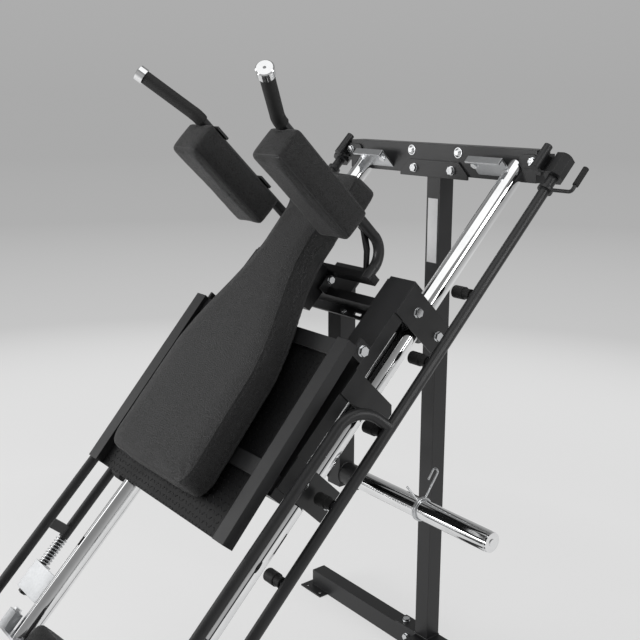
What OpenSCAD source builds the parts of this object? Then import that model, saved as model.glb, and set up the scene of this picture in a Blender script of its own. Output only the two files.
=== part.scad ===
// Leg press and hack squat machine: a plate loaded carriage on two slanted guide rods.
// X runs across the machine, Y from the seat to the rear post, Z up from the floor.
// Rail parts are drawn flat: X across, Y up along the rods, Z off the rods' plane.

/* [Guide rods] */
// Angle of the rods above the floor
rail_angle = 45; // [40:1:50]
// Y of the rods' lower ends
rail_foot_y = -1150; // [-1200:10:-1100]
// Height of the rods' lower ends
rail_foot_z = 362; // [350:1:380]
// Diameter of a guide rod
rod_d = 51; // [45:1:55]
// Distance between the rods' centres
rod_gap = 552; // [540:2:570]

/* [Rear frame] */
// Width of the square rear post
post_w = 50; // [40:2:60]
// Wall of the square and oblong tubes
tube_wall = 3; // [2:0.5:4]
// Height of the top cross beam
beam_h = 80; // [70:2:90]
// Half length of the top cross beam
beam_half = 345; // [340:1:350]
// Height of the top cross beam's upper face
beam_top = 1549; // [1540:1:1560]
// Height of the floor tubes
base_h = 55; // [50:1:60]
// Half length of the rear floor tube
rear_half = 537; // [500:1:560]
// Thickness of a foot flange
foot_t = 5; // [4:1:8]
// Length of a foot flange along the tube
foot_len = 106; // [90:1:120]
// How far a foot flange stands out on each side of its tube
foot_out = 34; // [26:1:40]
// Diameter of a foot flange's bolt holes
foot_hole = 11; // [9:1:13]
// Thickness of the plates and brackets
plate_t = 6; // [4:1:6]
// Width of the blank label plate
label_w = 38; // [30:1:44]
// Height of the blank label plate
label_h = 178; // [120:1:200]

/* [Lower frame] */
// Y of the front floor tube's centre
front_y = -1840; // [-1900:10:-1800]
// Half length of the front floor tube
front_half = 330; // [300:5:400]
// Depth of the lower cross beam along the rods
low_beam_d = 50; // [40:1:60]
// Half length of the lower cross beam
low_beam_half = 345; // [335:1:360]

/* [Seat] */
// Width of the seat pad
seat_w = 312; // [280:2:330]
// Length of the seat pad
seat_l = 300; // [280:5:310]
// Thickness of the seat pad
seat_t = 98; // [80:1:100]
// Tilt of the seat pad
seat_tilt = 32; // [28:1:34]
// Y of the seat pad's upper rear edge
seat_y = -1140; // [-1160:1:-1135]
// Height of the seat pad's upper rear edge
seat_z = 483; // [475:1:490]
// Width of the backrest pad
rest_w = 300; // [260:5:340]
// Length of the backrest pad
rest_l = 640; // [560:5:700]
// Thickness of the backrest pad
rest_t = 62; // [50:1:70]
// Slope of the backrest above the floor
rest_slope = 48; // [42:1:55]

/* [Safety bars] */
// Distance of a safety bar from the centre plane
bar_x = 396; // [390:1:402]
// Diameter of the safety bars and their handle tubes
bar_d = 26; // [24:1:30]
// Place of the lowest peg along the rods
peg_first = 466; // [455:1:475]
// Distance between two pegs
peg_pitch = 191.5; // [185:0.5:192]
// Diameter of a peg's rubber sleeve
peg_d = 30; // [26:1:34]
// How far a peg reaches in from its bar's centre
peg_reach = 64; // [58:1:66]
// How far the handle tube sits in from the bar
grip_in = 38; // [34:1:44]
// How far the handle tube sits off the rods' plane
grip_off = 92; // [86:1:98]
// Diameter of the spring's shaft
shaft_d = 16; // [14:1:18]
// Wire of the cushioning spring
spring_wire = 4.5; // [4:0.5:5]
// Free turns of the cushioning spring
spring_turns = 7.5; // [6:0.5:9]

/* [Carriage] */
// Width of a side beam
side_w = 82; // [80:1:84]
// Height of a side beam
side_h = 35; // [32:1:38]
// Height of a side beam's top face off the rods' plane
side_top = 102; // [100:1:106]
// Outer face of a side beam
side_out = 311; // [309:1:313]
// Start of the side beams along the rods
side_low = 597; // [590:1:605]
// End of the side beams along the rods
side_high = 1178; // [1170:1:1185]
// Wall of the side beams
side_wall = 4; // [3:0.5:5]
// Radius of a roller's rims
roller_r = 29.5; // [28:0.5:30]
// Width of a roller
roller_w = 44; // [40:1:48]
// Diameter of a roller's axle
axle_d = 12; // [10:1:14]
// Running clearance on a shaft, each side
run_gap = 0.1; // [0.05:0.01:0.1]
// Clearance between a roller and its rod
roll_gap = 0.4; // [0.3:0.05:0.6]
// Length of a roller bracket along the rods
cheek_l = 80; // [70:1:82]
// Thickness of the roller and catch brackets
cheek_t = 4; // [3:0.5:5]
// Middle of the lower roller bracket along the rods
cheek_low = 660; // [655:1:665]
// Middle of the upper roller bracket along the rods
cheek_high = 1130; // [1125:1:1132]
// Sideways clearance between a catch and a peg
catch_gap = 3; // [2:0.5:4]

/* [Foot plate of the carriage] */
// Half width of the plate's frame
tread_half = 315; // [313:1:316]
// Start of the frame along the rods
tread_low = 461; // [455:1:470]
// Length of the frame
tread_len = 506; // [500:1:512]
// Width of the frame's tubes
tread_rail = 40; // [36:1:44]
// Height of the frame's tubes
tread_h = 31; // [28:1:33]
// Underside of the frame's lower end off the rods' plane
tread_off = 108; // [107:1:110]
// Tilt of the frame against the rods
tread_tilt = 3.3; // [3:0.1:3.6]
// Thickness of the tread plate
tread_t = 4; // [3:0.5:5]

/* [Weight horns] */
// Diameter of a weight horn
horn_d = 50; // [48:1:50]
// Outer end of a weight horn
horn_end = 535; // [500:1:560]
// Y of the weight post's centre
wpost_y = -347; // [-350:1:-344]
// Height of the horns' axis
horn_z = 695; // [685:1:705]
// Diameter of the sleeve at a horn's root
sleeve_d = 60; // [56:1:64]
// Length of the sleeve at a horn's root
sleeve_l = 52; // [45:1:60]
// Place of the spring collars on the horns
collar_x = 312; // [290:1:330]
// Wire of the spring collars
collar_wire = 5; // [4:0.5:6]

/* [Back and shoulder pads] */
// Start of the back pad along the rods
back_low = 511; // [508:1:515]
// Underside of the back pad's lower end off the rods' plane
back_off = 131; // [130:1:134]
// Length of the back pad
back_l = 840; // [820:1:844]
// Thickness of the back pad
back_t = 80; // [70:1:84]
// Tilt of the back pad against the rods
back_tilt = 4; // [3.8:0.1:4.4]
// Half width of the back pad's lower part
back_half = 183; // [176:1:188]
// Half width of the back pad between the shoulder pads
head_half = 88; // [84:1:94]
// Half width of the back pad's head
head_end = 119; // [100:1:122]
// Inner face of a shoulder pad
sh_in = 113; // [112:1:118]
// Width of a shoulder pad
sh_w = 114; // [104:1:116]
// Start of the shoulder pads along the rods
sh_low = 1152; // [1148:1:1156]
// Thickness of a shoulder pad along the rods
sh_t = 86; // [76:1:88]
// Start of the shoulder pads off the rods' plane
sh_off = 250; // [246:1:256]
// Length of the shoulder pads
sh_l = 284; // [260:1:290]
// Diameter of the shoulder tubes
arm_d = 26; // [24:1:28]
// Distance of a shoulder tube from the centre plane
arm_x = 164; // [160:1:168]
// Diameter of a handle's rubber grip
grip_d = 32; // [30:1:35]
// Diameter of a handle's chrome cap
cap_d = 39; // [36:1:42]
// Place of the pads' pivot along the rods
pivot_u = 1138; // [1134:1:1140]
// Place of the pads' pivot off the rods' plane
pivot_n = 88; // [87:1:89]
// Thickness of the carriage's upper cross beam along the rods
cross_t = 24; // [20:1:30]

/* [Squat platform] */
// Place of the platform's arms along the rods
squat_u = -94; // [-100:1:-90]
// Distance of an arm's centre from the centre plane
squat_x = 228; // [225:1:232]
// Width of the platform's square arms
squat_arm = 30; // [25:1:32]
// Start of the platform off the rods' plane
squat_low = 140; // [130:1:150]
// Depth of the platform
squat_l = 330; // [300:5:340]

/* [Hidden] */
$fn = 48;
rod_x = rod_gap / 2;
rod_r = rod_d / 2;
beam_z = beam_top - beam_h;
front_face = -post_w / 2;
roller_n = rod_r + roll_gap + 21.5;
groove_r = rod_r + roll_gap;
horn_r = horn_d / 2;
clamp_u = 1590;
clamp_t = 5;
low_beam_n = -118;
socket_n = -100;
spring_low = 166;
spring_top = 247;
cross_n = pivot_n - 50;
cross_h = 38;
stop_gap = 0.4;
grip_turn = [0.86, 0.51];
black = "#26272a";
dark = "#1b1c1e";
chrome = "#d4d7da";
zinc = "#b9bcbf";

// rail frame: X across, Y along the rods from their lower ends, Z off their plane
module rail() { translate([0, rail_foot_y, rail_foot_z]) rotate([rail_angle, 0, 0]) children(); }
module both() { children(); mirror([1, 0, 0]) children(); }
// closed box tube with its wall, from a corner
module box(s, wall = tube_wall) {
  difference() {
    cube(s);
    translate([wall, wall, wall]) cube([s[0] - 2 * wall, s[1] - 2 * wall, s[2] - 2 * wall]);
  }
}
module xcyl(d, x0, x1) { translate([x0, 0, 0]) rotate([0, 90, 0]) cylinder(d = d, h = x1 - x0); }
module ycyl(d, y0, y1) { translate([0, y0, 0]) rotate([-90, 0, 0]) cylinder(d = d, h = y1 - y0); }
// hexagon bolt head on a washer, its seat at z = 0
module head(d = 12) {
  cylinder(d = d * 2, h = 2);
  translate([0, 0, 2]) cylinder(d = d * 1.85, h = d * 0.6, $fn = 6);
}
// domed bolt head on a washer
module dome(d = 12) {
  cylinder(d = d * 2, h = 2);
  translate([0, 0, 2]) cylinder(d1 = d * 1.7, d2 = d * 0.9, h = d * 0.45, $fn = 24);
}

// Rear floor tube with a foot flange under each end
module rear_base() {
  color(black) {
    translate([-rear_half, -post_w / 2, 0]) box([2 * rear_half, post_w, foot_t + base_h]);
    both() foot(rear_half, 0, post_w);
  }
}
module foot(x, y, w) {
  difference() {
    translate([x + 24 - foot_len, y - w / 2 - foot_out, 0])
      cube([foot_len, w + 2 * foot_out, foot_t]);
    for (dx = [-1, 1], sy = [-1, 1])
      translate([x + 24 - foot_len / 2 + dx * foot_len * 0.31, y + sy * (w / 2 + foot_out * 0.55), -1])
        cylinder(d = foot_hole, h = foot_t + 2);
  }
}

module rear_post() {
  z0 = foot_t + base_h;
  color(black) {
    translate([-post_w / 2, -post_w / 2, z0 + plate_t])
      box([post_w, post_w, beam_z - z0 - plate_t]);
    translate([-115, -post_w / 2, z0]) cube([230, post_w, plate_t]);
    translate([0, front_face, 0]) rotate([90, 0, 0]) linear_extrude(plate_t)
      polygon([[-126, beam_z - 8], [126, beam_z - 8], [126, beam_z + 4], [92, beam_z + 37],
        [-92, beam_z + 37], [-126, beam_z + 4]]);
  }
}

module label_plate() {
  color("#c9cbcc") translate([-label_w / 2, front_face - 1, 1226]) cube([label_w, 1, label_h]);
}

module top_beam() {
  color(black) {
    translate([-beam_half, -post_w / 2, beam_z]) box([2 * beam_half, post_w, beam_h]);
    // rounded lugs on the beam's ends
    both() translate([beam_half, 0, beam_z + 52]) hull() {
      translate([-34, front_face, 0]) rotate([90, 0, 0]) cylinder(d = 34, h = plate_t, $fn = 32);
      translate([-9, front_face, 0]) rotate([90, 0, 0]) cylinder(d = 34, h = plate_t, $fn = 32);
    }
  }
}

// Bolt heads of the fixed frame
module frame_bolts() {
  color(chrome) {
    both() {
      translate([87, front_face, beam_z + 61]) rotate([90, 0, 0]) dome(14);
      translate([70, front_face - plate_t, beam_z + 14]) rotate([90, 0, 0]) head();
      translate([beam_half - 7, front_face - plate_t, beam_z + 52]) rotate([90, 0, 0]) head(11);
      translate([90, 0, foot_t + base_h + plate_t]) head();
      translate([62, front_face, foot_t + base_h / 2]) rotate([90, 0, 0]) head();
    }
    rail() both() {
      translate([rod_x - 102, clamp_u - clamp_t, 35]) rotate([90, 0, 0]) head(11);
      translate([rod_x - 44, 0, 20]) rotate([-90, 0, 0]) head(10);
      translate([rod_x + 44, 46, 30]) rotate([-90, 0, 0]) head(11);
    }
  }
}

// Chrome rods, mitred to the clamp on the top beam
module rod(s) {
  color(chrome) difference() {
    rail() translate([s * rod_x, 0, 0]) ycyl(rod_d, 0, 1640);
    translate([s * rod_x - 60, front_face, 1300]) cube([120, 200, 300]);
  }
}
module rod_left() { rod(-1); }
module rod_right() { rod(1); }

// Angle brackets over the rods' upper ends, leaning on the cross beam
module upper_clamps() {
  color(zinc) both() difference() {
    rail() difference() {
      union() {
        translate([rod_x - 115, clamp_u - clamp_t, -8]) cube([112, clamp_t, 67]);
        translate([rod_x - 115, clamp_u - 20, 59 - clamp_t]) cube([112, 20, clamp_t]);
      }
      translate([rod_x, 0, 0]) ycyl(rod_d + 0.6, clamp_u - 40, clamp_u + 20);
    }
    translate([0, front_face, 1300]) cube([400, 200, 300]);
  }
}

// Angle brackets that hold the rods' lower ends to the lower cross beam
module lower_clamps() {
  color(zinc) rail() both() {
    translate([rod_x - 60, -plate_t, low_beam_n]) cube([124, plate_t, 42 - low_beam_n]);
    translate([rod_x + rod_r + 1, 0, 18]) cube([34, 46, 24]);
  }
}

module floor_beam() {
  color(black) {
    y0 = front_y + post_w / 2;
    translate([-post_w / 2, y0, foot_t]) box([post_w, -post_w / 2 - y0, base_h]);
  }
}

module lower_beam() {
  back = -plate_t - low_beam_d;
  wall = 4;
  arm = squat_arm + 2 * stop_gap;
  color(black) rail() {
    translate([-low_beam_half, back, low_beam_n]) box([2 * low_beam_half, low_beam_d, 80]);
    // sockets for the squat platform's arms
    both() difference() {
      translate([squat_x - arm / 2 - wall, squat_u - arm / 2 - wall, socket_n])
        cube([arm + 2 * wall, back - squat_u + arm / 2 + wall, 156]);
      translate([squat_x - arm / 2, squat_u - arm / 2, socket_n + wall]) cube([arm, arm, 200]);
    }
  }
}

module lower_post() {
  color(black) {
    difference() {
      translate([-post_w / 2, rail_foot_y + 36, foot_t + base_h]) box([post_w, 50, 320]);
      rail() translate([-60, -300, low_beam_n]) cube([120, 600, 400]);
    }
    translate([-post_w / 2 - 30, rail_foot_y + 36, foot_t + base_h]) cube([post_w + 60, 50, plate_t]);
  }
}

module front_base() {
  color(black) {
    translate([-front_half, front_y - post_w / 2, 0]) box([2 * front_half, post_w, foot_t + base_h]);
    both() foot(front_half, front_y, post_w);
  }
}

// seat pad frame: X across, Y back along the pad from its upper rear edge, Z off its face
module seat_axes() { translate([0, seat_y, seat_z]) rotate([seat_tilt, 0, 0]) children(); }
rest_y = seat_y - (seat_l + 22) * cos(seat_tilt) - 30;
rest_z = seat_z - (seat_l + 22) * sin(seat_tilt) - 30;
// backrest frame: Z up along the pad, Y towards the sitter's back, at the recline hinge
module rest_axes() { translate([0, rest_y, rest_z]) rotate([90 - rest_slope, 0, 0]) children(); }

module seat_frame() {
  color(black) {
    // post from the floor tube to the seat
    sy = seat_y - 190;
    difference() {
      translate([-post_w / 2, sy - 25, foot_t + base_h]) box([post_w, 50, 420]);
      seat_axes() translate([-100, -500, -seat_t - 12]) cube([200, 700, 400]);
    }
    translate([-post_w / 2 - 30, sy - 25, foot_t + base_h]) cube([post_w + 60, 50, plate_t]);
    // carrier plate under the pad
    seat_axes() translate([-110, -seat_l + 30, -seat_t - 12]) cube([220, seat_l - 60, 11.6]);
    // cheeks that hold the recline hinge, on their own column
    for (s = [-1, 1]) difference() {
      hull() {
        translate([s * 62 - 4, rest_y, rest_z]) xcyl(46, 0, 8, $fn = 32);
        translate([s * 62 - 4, rest_y - 30, rest_z - 110]) xcyl(60, 0, 8, $fn = 32);
      }
      translate([0, rest_y, rest_z]) xcyl(axle_d, -100, 100);
    }
    translate([0, rest_y, rest_z]) xcyl(axle_d, -66, 66);
    translate([-post_w / 2, rest_y - 60, foot_t + base_h])
      box([post_w, 60, rest_z - 130 - foot_t - base_h]);
    translate([-58.2, rest_y - 60, rest_z - 136]) cube([116.4, 60, 50]);
    // prop for the backrest at its lowest setting
    difference() {
      translate([-post_w / 2, front_y + 60, foot_t + base_h]) box([post_w, 50, 500]);
      rest_axes() translate([-100, -58 - stop_gap, -200]) cube([200, 400, 1200]);
    }
  }
}

module seat_pad() {
  color(dark) seat_axes() translate([0, -seat_l / 2, -seat_t])
    cushion(seat_w, seat_l, seat_t, 26, 12, 3);
}

// pad with a crown c high, edges of radius e and drawn-in sides, its back at z = 0
module cushion(w, l, t, r, e, c) {
  // outline with round corners and slightly drawn-in sides
  function outline(d) = [for (i = [0:47]) let (a = i * 7.5, cx = sign(cos(a)) * (w / 2 - r),
    cy = sign(sin(a)) * (l / 2 - r), q = r + d, m = 1.2 * (1 + cos(4 * a)) / 2)
    [(abs(cos(a)) < 0.001 ? 0 : cx) + (q - m) * cos(a), (abs(sin(a)) < 0.001 ? 0 : cy) + (q - m) * sin(a)]];
  loft([for (p = [[0, -2], [t * 0.12, -0.6], [t * 0.5, 0], [t - c - e, -0.6], [t - c - e * 0.3, -e * 0.3],
    [t - c, -e]]) [p[0], outline(p[1])]], t);
}
// closed form through rings of 48 points, with a crowned top of two inner rings and a peak
module loft(rings, t) {
  n = len(rings);
  m = len(rings[0][1]);
  top = rings[n - 1][1];
  in1 = [for (p = top) [p[0] * 0.72, p[1] * 0.86, t - 0.3]];
  pts = concat([for (k = rings) for (p = k[1]) [p[0], p[1], k[0]]], in1,
    [[0, 0, 0], [0, 0, t]]);
  c0 = (n + 1) * m;
  faces = concat(
    [for (k = [0:n - 1]) for (i = [0:m - 1]) [k * m + i, (k + 1) * m + i, (k + 1) * m + (i + 1) % m]],
    [for (k = [0:n - 1]) for (i = [0:m - 1]) [k * m + i, (k + 1) * m + (i + 1) % m, k * m + (i + 1) % m]],
    [for (i = [0:m - 1]) [i, (i + 1) % m, c0]],
    [for (i = [0:m - 1]) [n * m + (i + 1) % m, n * m + i, c0 + 1]]);
  polyhedron(pts, faces);
}

// Top bearing of a safety bar: barrel, channel and eight-sided block
module bar_mount() {
  color(black) rail() {
    difference() {
      translate([bar_x, 1590, 0]) rotate([-90, 22.5, 0]) cylinder(d = 52, h = 60, $fn = 8);
      translate([bar_x, 0, 0]) ycyl(bar_d + 2 * run_gap, 1580, 1640);
    }
    translate([bar_x, 0, 0]) ycyl(30, 1650, 1657);
    translate([bar_x - 30, 0, 41]) ycyl(22, 1582, 1652);
    translate([bar_x - 36, 1596, 12]) cube([6, 46, 24]);
    translate([bar_x - 44, 1596, 10]) cube([24, 46, 6]);
  }
  color(black) translate([beam_half, -post_w / 2, beam_z + 20]) cube([14, post_w, 50]);
}
module bar_mount_left() { mirror([1, 0, 0]) bar_mount(); }
module bar_mount_right() { bar_mount(); }

// Zinc bracket that carries the spring's shaft beside the guide rod
module bar_bracket() {
  color(zinc) rail() difference() {
    union() {
      translate([rod_x + rod_r - 8, 86, 14]) cube([bar_x + 16 - rod_x - rod_r + 8, 80, 3]);
      for (u = [86, 162]) translate([bar_x - 16, u, -16]) cube([32, 4, 33]);
    }
    translate([bar_x, 0, 0]) ycyl(shaft_d + 2 * run_gap, 60, 200);
    translate([rod_x, 0, 0]) ycyl(rod_d + 0.2, 60, 200);
  }
}
module bar_bracket_left() { mirror([1, 0, 0]) bar_bracket(); }
module bar_bracket_right() { bar_bracket(); }

// Coil spring as one tube of six sides, with flat closing turns
spring_r = shaft_d / 2 + 1 + spring_wire;
spring_pitch = (spring_top - spring_low - 0.8 - 2 * spring_wire - 1.4) / spring_turns;
function spring_y(t) = let (q = spring_wire + 0.7)
  t < 0.75 ? spring_low + 0.4 + spring_wire / 2 + t * q / 0.75 * 1.0
  : t > spring_turns + 0.75 ? spring_top - 0.4 - spring_wire / 2 - (spring_turns + 1.5 - t) * q / 0.75
  : spring_low + 0.4 + spring_wire / 2 + q + (t - 0.75)
    * (spring_top - spring_low - 0.8 - spring_wire - 2 * q) / spring_turns;
spring_n = round((spring_turns + 1.5) * 8);
spring_path = [for (i = [0:spring_n]) let (t = i / 8) [spring_r * cos(360 * t), spring_y(t),
  spring_r * sin(360 * t)]];
echo(str("least gap between the spring's curls: ",
  min([for (i = [0:spring_n - 8]) norm(spring_path[i + 8] - spring_path[i]) - spring_wire])));
// six sided tube swept round the Y axis
module curl(path, d) {
  n = len(path);
  pts = [for (p = path) let (a = atan2(p[2], p[0])) for (k = [0:5])
    let (b = k * 60 + 30) p + d / 2 * [cos(b) * cos(a), sin(b), cos(b) * sin(a)]];
  faces = concat([[5, 4, 3], [5, 3, 2], [5, 2, 1], [5, 1, 0]],
    [for (i = [0:n - 2]) for (k = [0:5]) [i * 6 + k, i * 6 + (k + 1) % 6, (i + 1) * 6 + k]],
    [for (i = [0:n - 2]) for (k = [0:5]) [i * 6 + (k + 1) % 6, (i + 1) * 6 + (k + 1) % 6, (i + 1) * 6 + k]],
    [for (k = [1:4]) [(n - 1) * 6, (n - 1) * 6 + k, (n - 1) * 6 + k + 1]]);
  polyhedron(pts, faces);
}
module bar_spring_right() { color(dark) rail() translate([bar_x, 0, 0]) curl(spring_path, spring_wire); }
module bar_spring_left() { color(dark) rail() translate([-bar_x, 0, 0]) curl(spring_path, spring_wire); }

// Pegged bar with its bent handle tube, both welded to a cross tie
module bar() {
  bend = 70;
  span = norm([grip_in, grip_off]);
  tilt = atan2(grip_off, -grip_in);
  color(black) rail() translate([bar_x, 0, 0]) {
    ycyl(bar_d, spring_top, 1638);
    ycyl(shaft_d, 76, spring_top);
    // handle tube, straight part, bend and foot on the bar
    rotate([0, -tilt, 0]) {
      translate([span, 0, 0]) ycyl(bar_d, -250, 795);
      translate([span - bend, 795, 0]) rotate_extrude(angle = 90)
        translate([bend, 0]) circle(d = bar_d);
      translate([0, 795 + bend, 0]) xcyl(bar_d, 0, span - bend);
      translate([0, 254, -6]) cube([span, 26, 12]);
    }
    // stems of the pegs
    for (i = [0:4]) translate([0, peg_first + i * peg_pitch, 0]) xcyl(16, -peg_reach + 4, 0);
    // collar under the top bearing
    ycyl(38, 1549, 1558);
    // nut on the shaft's end
    translate([0, 78, 0]) rotate([-90, 0, 0]) cylinder(d = 26, h = 7.6, $fn = 6);
  }
}
module bar_right() {
  bar();
  // crank on the right bar only
  color(black) rail() translate([bar_x, 1553.5, 0]) {
    xcyl(9, 12, 66);
    translate([66, 8, 0]) rotate([0, 0, -90]) rotate_extrude(angle = 90) translate([8, 0]) circle(d = 9);
    translate([74, 0, 0]) ycyl(9, 8, 20);
  }
}
module bar_left() { mirror([1, 0, 0]) bar(); }

// Rubber sleeves of the pegs
module pegs() {
  color(dark) rail() for (i = [0:4]) translate([bar_x, peg_first + i * peg_pitch, 0])
    difference() {
      union() {
        xcyl(peg_d, -peg_reach, -peg_reach + 30);
        xcyl(peg_d - 5, -peg_reach + 30, -bar_d / 2 - 2);
      }
      xcyl(16, -peg_reach + 4, 0);
    }
}
module pegs_left() { mirror([1, 0, 0]) pegs(); }
module pegs_right() { pegs(); }

// Rubber grip on the handle tube's lower end, and on the right bar's crank
module bar_grip() {
  color(dark) rail() translate([bar_x - grip_in, 0, grip_off]) difference() {
    ycyl(bar_d + 7, -256, -136);
    ycyl(bar_d, -250, -100);
  }
}
module bar_grips_left() { mirror([1, 0, 0]) bar_grip(); }
module bar_grips_right() {
  bar_grip();
  color(dark) rail() translate([bar_x + 74, 1553.5, 0]) ycyl(15, 20, 72);
}

// Side beams: channels open towards the rods, over the rollers
module side_beam_right() {
  color(black) rail() difference() {
    translate([side_out - side_w, side_low, side_top - side_h])
      cube([side_w, side_high - side_low, side_h]);
    translate([side_out - side_w + side_wall, side_low + side_wall, side_top - side_h - 1])
      cube([side_w - 2 * side_wall, side_high - side_low - 2 * side_wall, side_h + 1 - side_wall]);
  }
}
module side_beam_left() { mirror([1, 0, 0]) side_beam_right(); }

module cross_beams() {
  inner = side_out - side_w - cheek_t;
  u1 = pivot_u - 12;
  color(black) rail() {
    translate([-inner, side_low + 30, cross_n]) box([2 * inner, 40, cross_h]);
    translate([-inner, u1 - cross_t, cross_n]) box([2 * inner, cross_t, cross_h], 2);
    // flange in front of the upper beam, and the seat for the weight post
    difference() {
      translate([-inner + 6, u1 - cross_t - 24, cross_n - plate_t]) cube([2 * inner - 12, cross_t + 24, plate_t]);
      for (s = [-1, 1]) translate([s * 130 - 14, u1 - cross_t - 16, cross_n - 20]) cube([28, 9, 40]);
    }
    translate([-60, u1 - 10, cross_n - plate_t]) cube([120, 104, plate_t]);
    // lugs for the pads' pivot
    difference() {
      for (s = [-1, 1]) translate([s * 24 - 3, 0, 0]) {
        translate([0, pivot_u, pivot_n]) xcyl(26, 0, 6);
        translate([0, u1 - cross_t, pivot_n - 13]) cube([6, cross_t + 12, 26]);
      }
      translate([0, pivot_u, pivot_n]) xcyl(10 + 2 * run_gap, -60, 60);
    }
  }
}

// Tilted frame of the foot plate, with its cross bars
module tread_axes() {
  rail() translate([0, tread_low, tread_off]) rotate([tread_tilt, 0, 0]) children();
}
module plate_frame() {
  color(black) {
    tread_axes() {
      both() translate([tread_half - tread_rail, 0, 0]) box([tread_rail, tread_len, tread_h], 2);
      for (u = [154, tread_len - 42])
        translate([-tread_half + tread_rail, u, tread_t + 6.4])
          cube([2 * (tread_half - tread_rail), 40, 8]);
    }
    // lugs and spacers on the side beams
    rail() both() {
      difference() {
        translate([side_out - 8, 946, side_top]) cube([8, 44, 60]);
        tread_lift();
      }
      difference() {
        translate([side_out - 36, side_low + 8, side_top]) cube([30, 40, 30]);
        tread_lift();
      }
    }
  }
}
// space above the underside of the plate's frame
module tread_lift() {
  translate([0, tread_low, tread_off]) rotate([tread_tilt, 0, 0])
    translate([0, -50, 0]) cube([500, 800, 100]);
}
module tread_plate() {
  color(dark) tread_axes() {
    translate([-tread_half + tread_rail, 0, 6]) cube([2 * (tread_half - tread_rail), tread_len, tread_t]);
  }
}

// Roller brackets and catch of one side
module cheeks_right() {
  inner = side_out - side_w;
  color(black) rail() {
    for (u = [cheek_low, cheek_high], x = [side_out, inner - cheek_t]) difference() {
      translate([x, u - cheek_l / 2, -62]) cube([cheek_t, cheek_l, side_top + 62]);
      for (n = [-1, 1]) translate([0, u, n * roller_n]) xcyl(axle_d, 200, 400);
    }
    for (u = [cheek_low, cheek_high], n = [-1, 1]) translate([0, u, n * roller_n])
      xcyl(axle_d, inner - cheek_t, side_out + cheek_t);
    // catch plate with its lip just above the third peg
    lip = peg_first + 2 * peg_pitch + peg_d / 2 + 1;
    translate([side_out, 0, 0]) rotate([90, 0, 90]) linear_extrude(cheek_t)
      polygon([[lip, side_top], [lip + 66, side_top], [lip + 66, -46], [lip + 50, -62], [lip, -62]]);
    translate([side_out, lip, -62]) cube([bar_x - peg_reach - catch_gap - side_out, 6, 100]);
  }
}
module cheeks_left() { mirror([1, 0, 0]) cheeks_right(); }

module weight_post() {
  color(black) {
    difference() {
      translate([-25, wpost_y - 25, horn_z - 34]) box([50, 50, 700]);
      rail() translate([-60, 900, cross_n - plate_t]) cube([120, 500, 400]);
      translate([0, wpost_y, horn_z]) xcyl(1, -1, 1);
    }
    both() translate([0, wpost_y, horn_z]) xcyl(sleeve_d, 25, 25 + sleeve_l);
  }
}
module horn() {
  color(chrome) translate([0, wpost_y, horn_z]) {
    xcyl(horn_d, 25 + sleeve_l, collar_x + 0.5);
    // shallow groove at the collar's place, where the free end starts
    xcyl(horn_d - 1, collar_x + 0.5, collar_x + 2.5);
    xcyl(horn_d, collar_x + 2.5, horn_end - 6);
    xcyl(horn_d - 3, horn_end - 6, horn_end);
    xcyl(18, horn_end, horn_end + 2);
  }
}
module horn_left() { mirror([1, 0, 0]) horn(); }
module horn_right() { horn(); }

// Bolt heads of the carriage
module carriage_bolts() {
  color(chrome) {
    rail() both() {
      for (u = [cheek_low, cheek_high], n = [-1, 1])
        translate([side_out + cheek_t, u, n * roller_n]) rotate([0, 90, 0]) head();
      translate([side_out, 970, side_top + 15]) rotate([0, 90, 0]) head(13);
    }
    rail() {
      translate([27, pivot_u, pivot_n]) rotate([0, 90, 0]) head(10);
      translate([-27, pivot_u, pivot_n]) rotate([0, -90, 0]) head(10);
      translate([0, pivot_u, pivot_n]) xcyl(10, -27, 27);
      for (x = [-172, -82, 82, 172]) translate([x, pivot_u - 12 - cross_t - 12, cross_n]) head(9);
    }
  }
}

// Grooved roller, turning on its axle
module roller(s, u, n) {
  color("#3a3b3d") rail() translate([s * rod_x, u, n * roller_n]) rotate([0, 90, 0])
    rotate_extrude($fn = 64) difference() {
      translate([axle_d / 2 + run_gap, -roller_w / 2]) square([roller_r - axle_d / 2 - run_gap, roller_w]);
      translate([roller_n, 0]) circle(r = groove_r, $fn = 96);
    }
}
module roller_lt() { roller(-1, cheek_low, 1); }
module roller_lb() { roller(-1, cheek_low, -1); }
module roller_ut() { roller(-1, cheek_high, 1); }
module roller_ub() { roller(-1, cheek_high, -1); }
module roller_rlt() { roller(1, cheek_low, 1); }
module roller_rlb() { roller(1, cheek_low, -1); }
module roller_rut() { roller(1, cheek_high, 1); }
module roller_rub() { roller(1, cheek_high, -1); }

// Spring collar: a wire ring and two legs
module collar() {
  ring_r = horn_r + 0.4 + collar_wire / 2;
  color(zinc) translate([collar_x, wpost_y, horn_z]) {
    for (x = [-collar_wire, 0]) translate([x, 0, 0]) rotate([0, 90, 0])
      rotate_extrude($fn = 64) translate([ring_r, 0]) circle(d = collar_wire, $fn = 16);
    // short leg and long leg with its hairpin end
    rotate([28, 0, 0]) translate([-collar_wire, 0, ring_r]) rotate([0, -24, 0])
      cylinder(d = collar_wire, h = 44, $fn = 16);
    rotate([-16, 0, 0]) translate([0, 0, ring_r]) rotate([0, 16, 0]) {
      cylinder(d = collar_wire, h = 72, $fn = 16);
      translate([-8, 0, 72]) rotate([90, 0, 0]) rotate_extrude(angle = 180, $fn = 32)
        translate([8, 0]) circle(d = collar_wire, $fn = 16);
      translate([-16, 0, 44]) cylinder(d = collar_wire, h = 28, $fn = 16);
    }
  }
}
module collar_left() { mirror([1, 0, 0]) collar(); }
module collar_right() { collar(); }

// place of the shoulder tubes behind the pads' backs, and how far their knees bend
arm_sink = 3;
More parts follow.
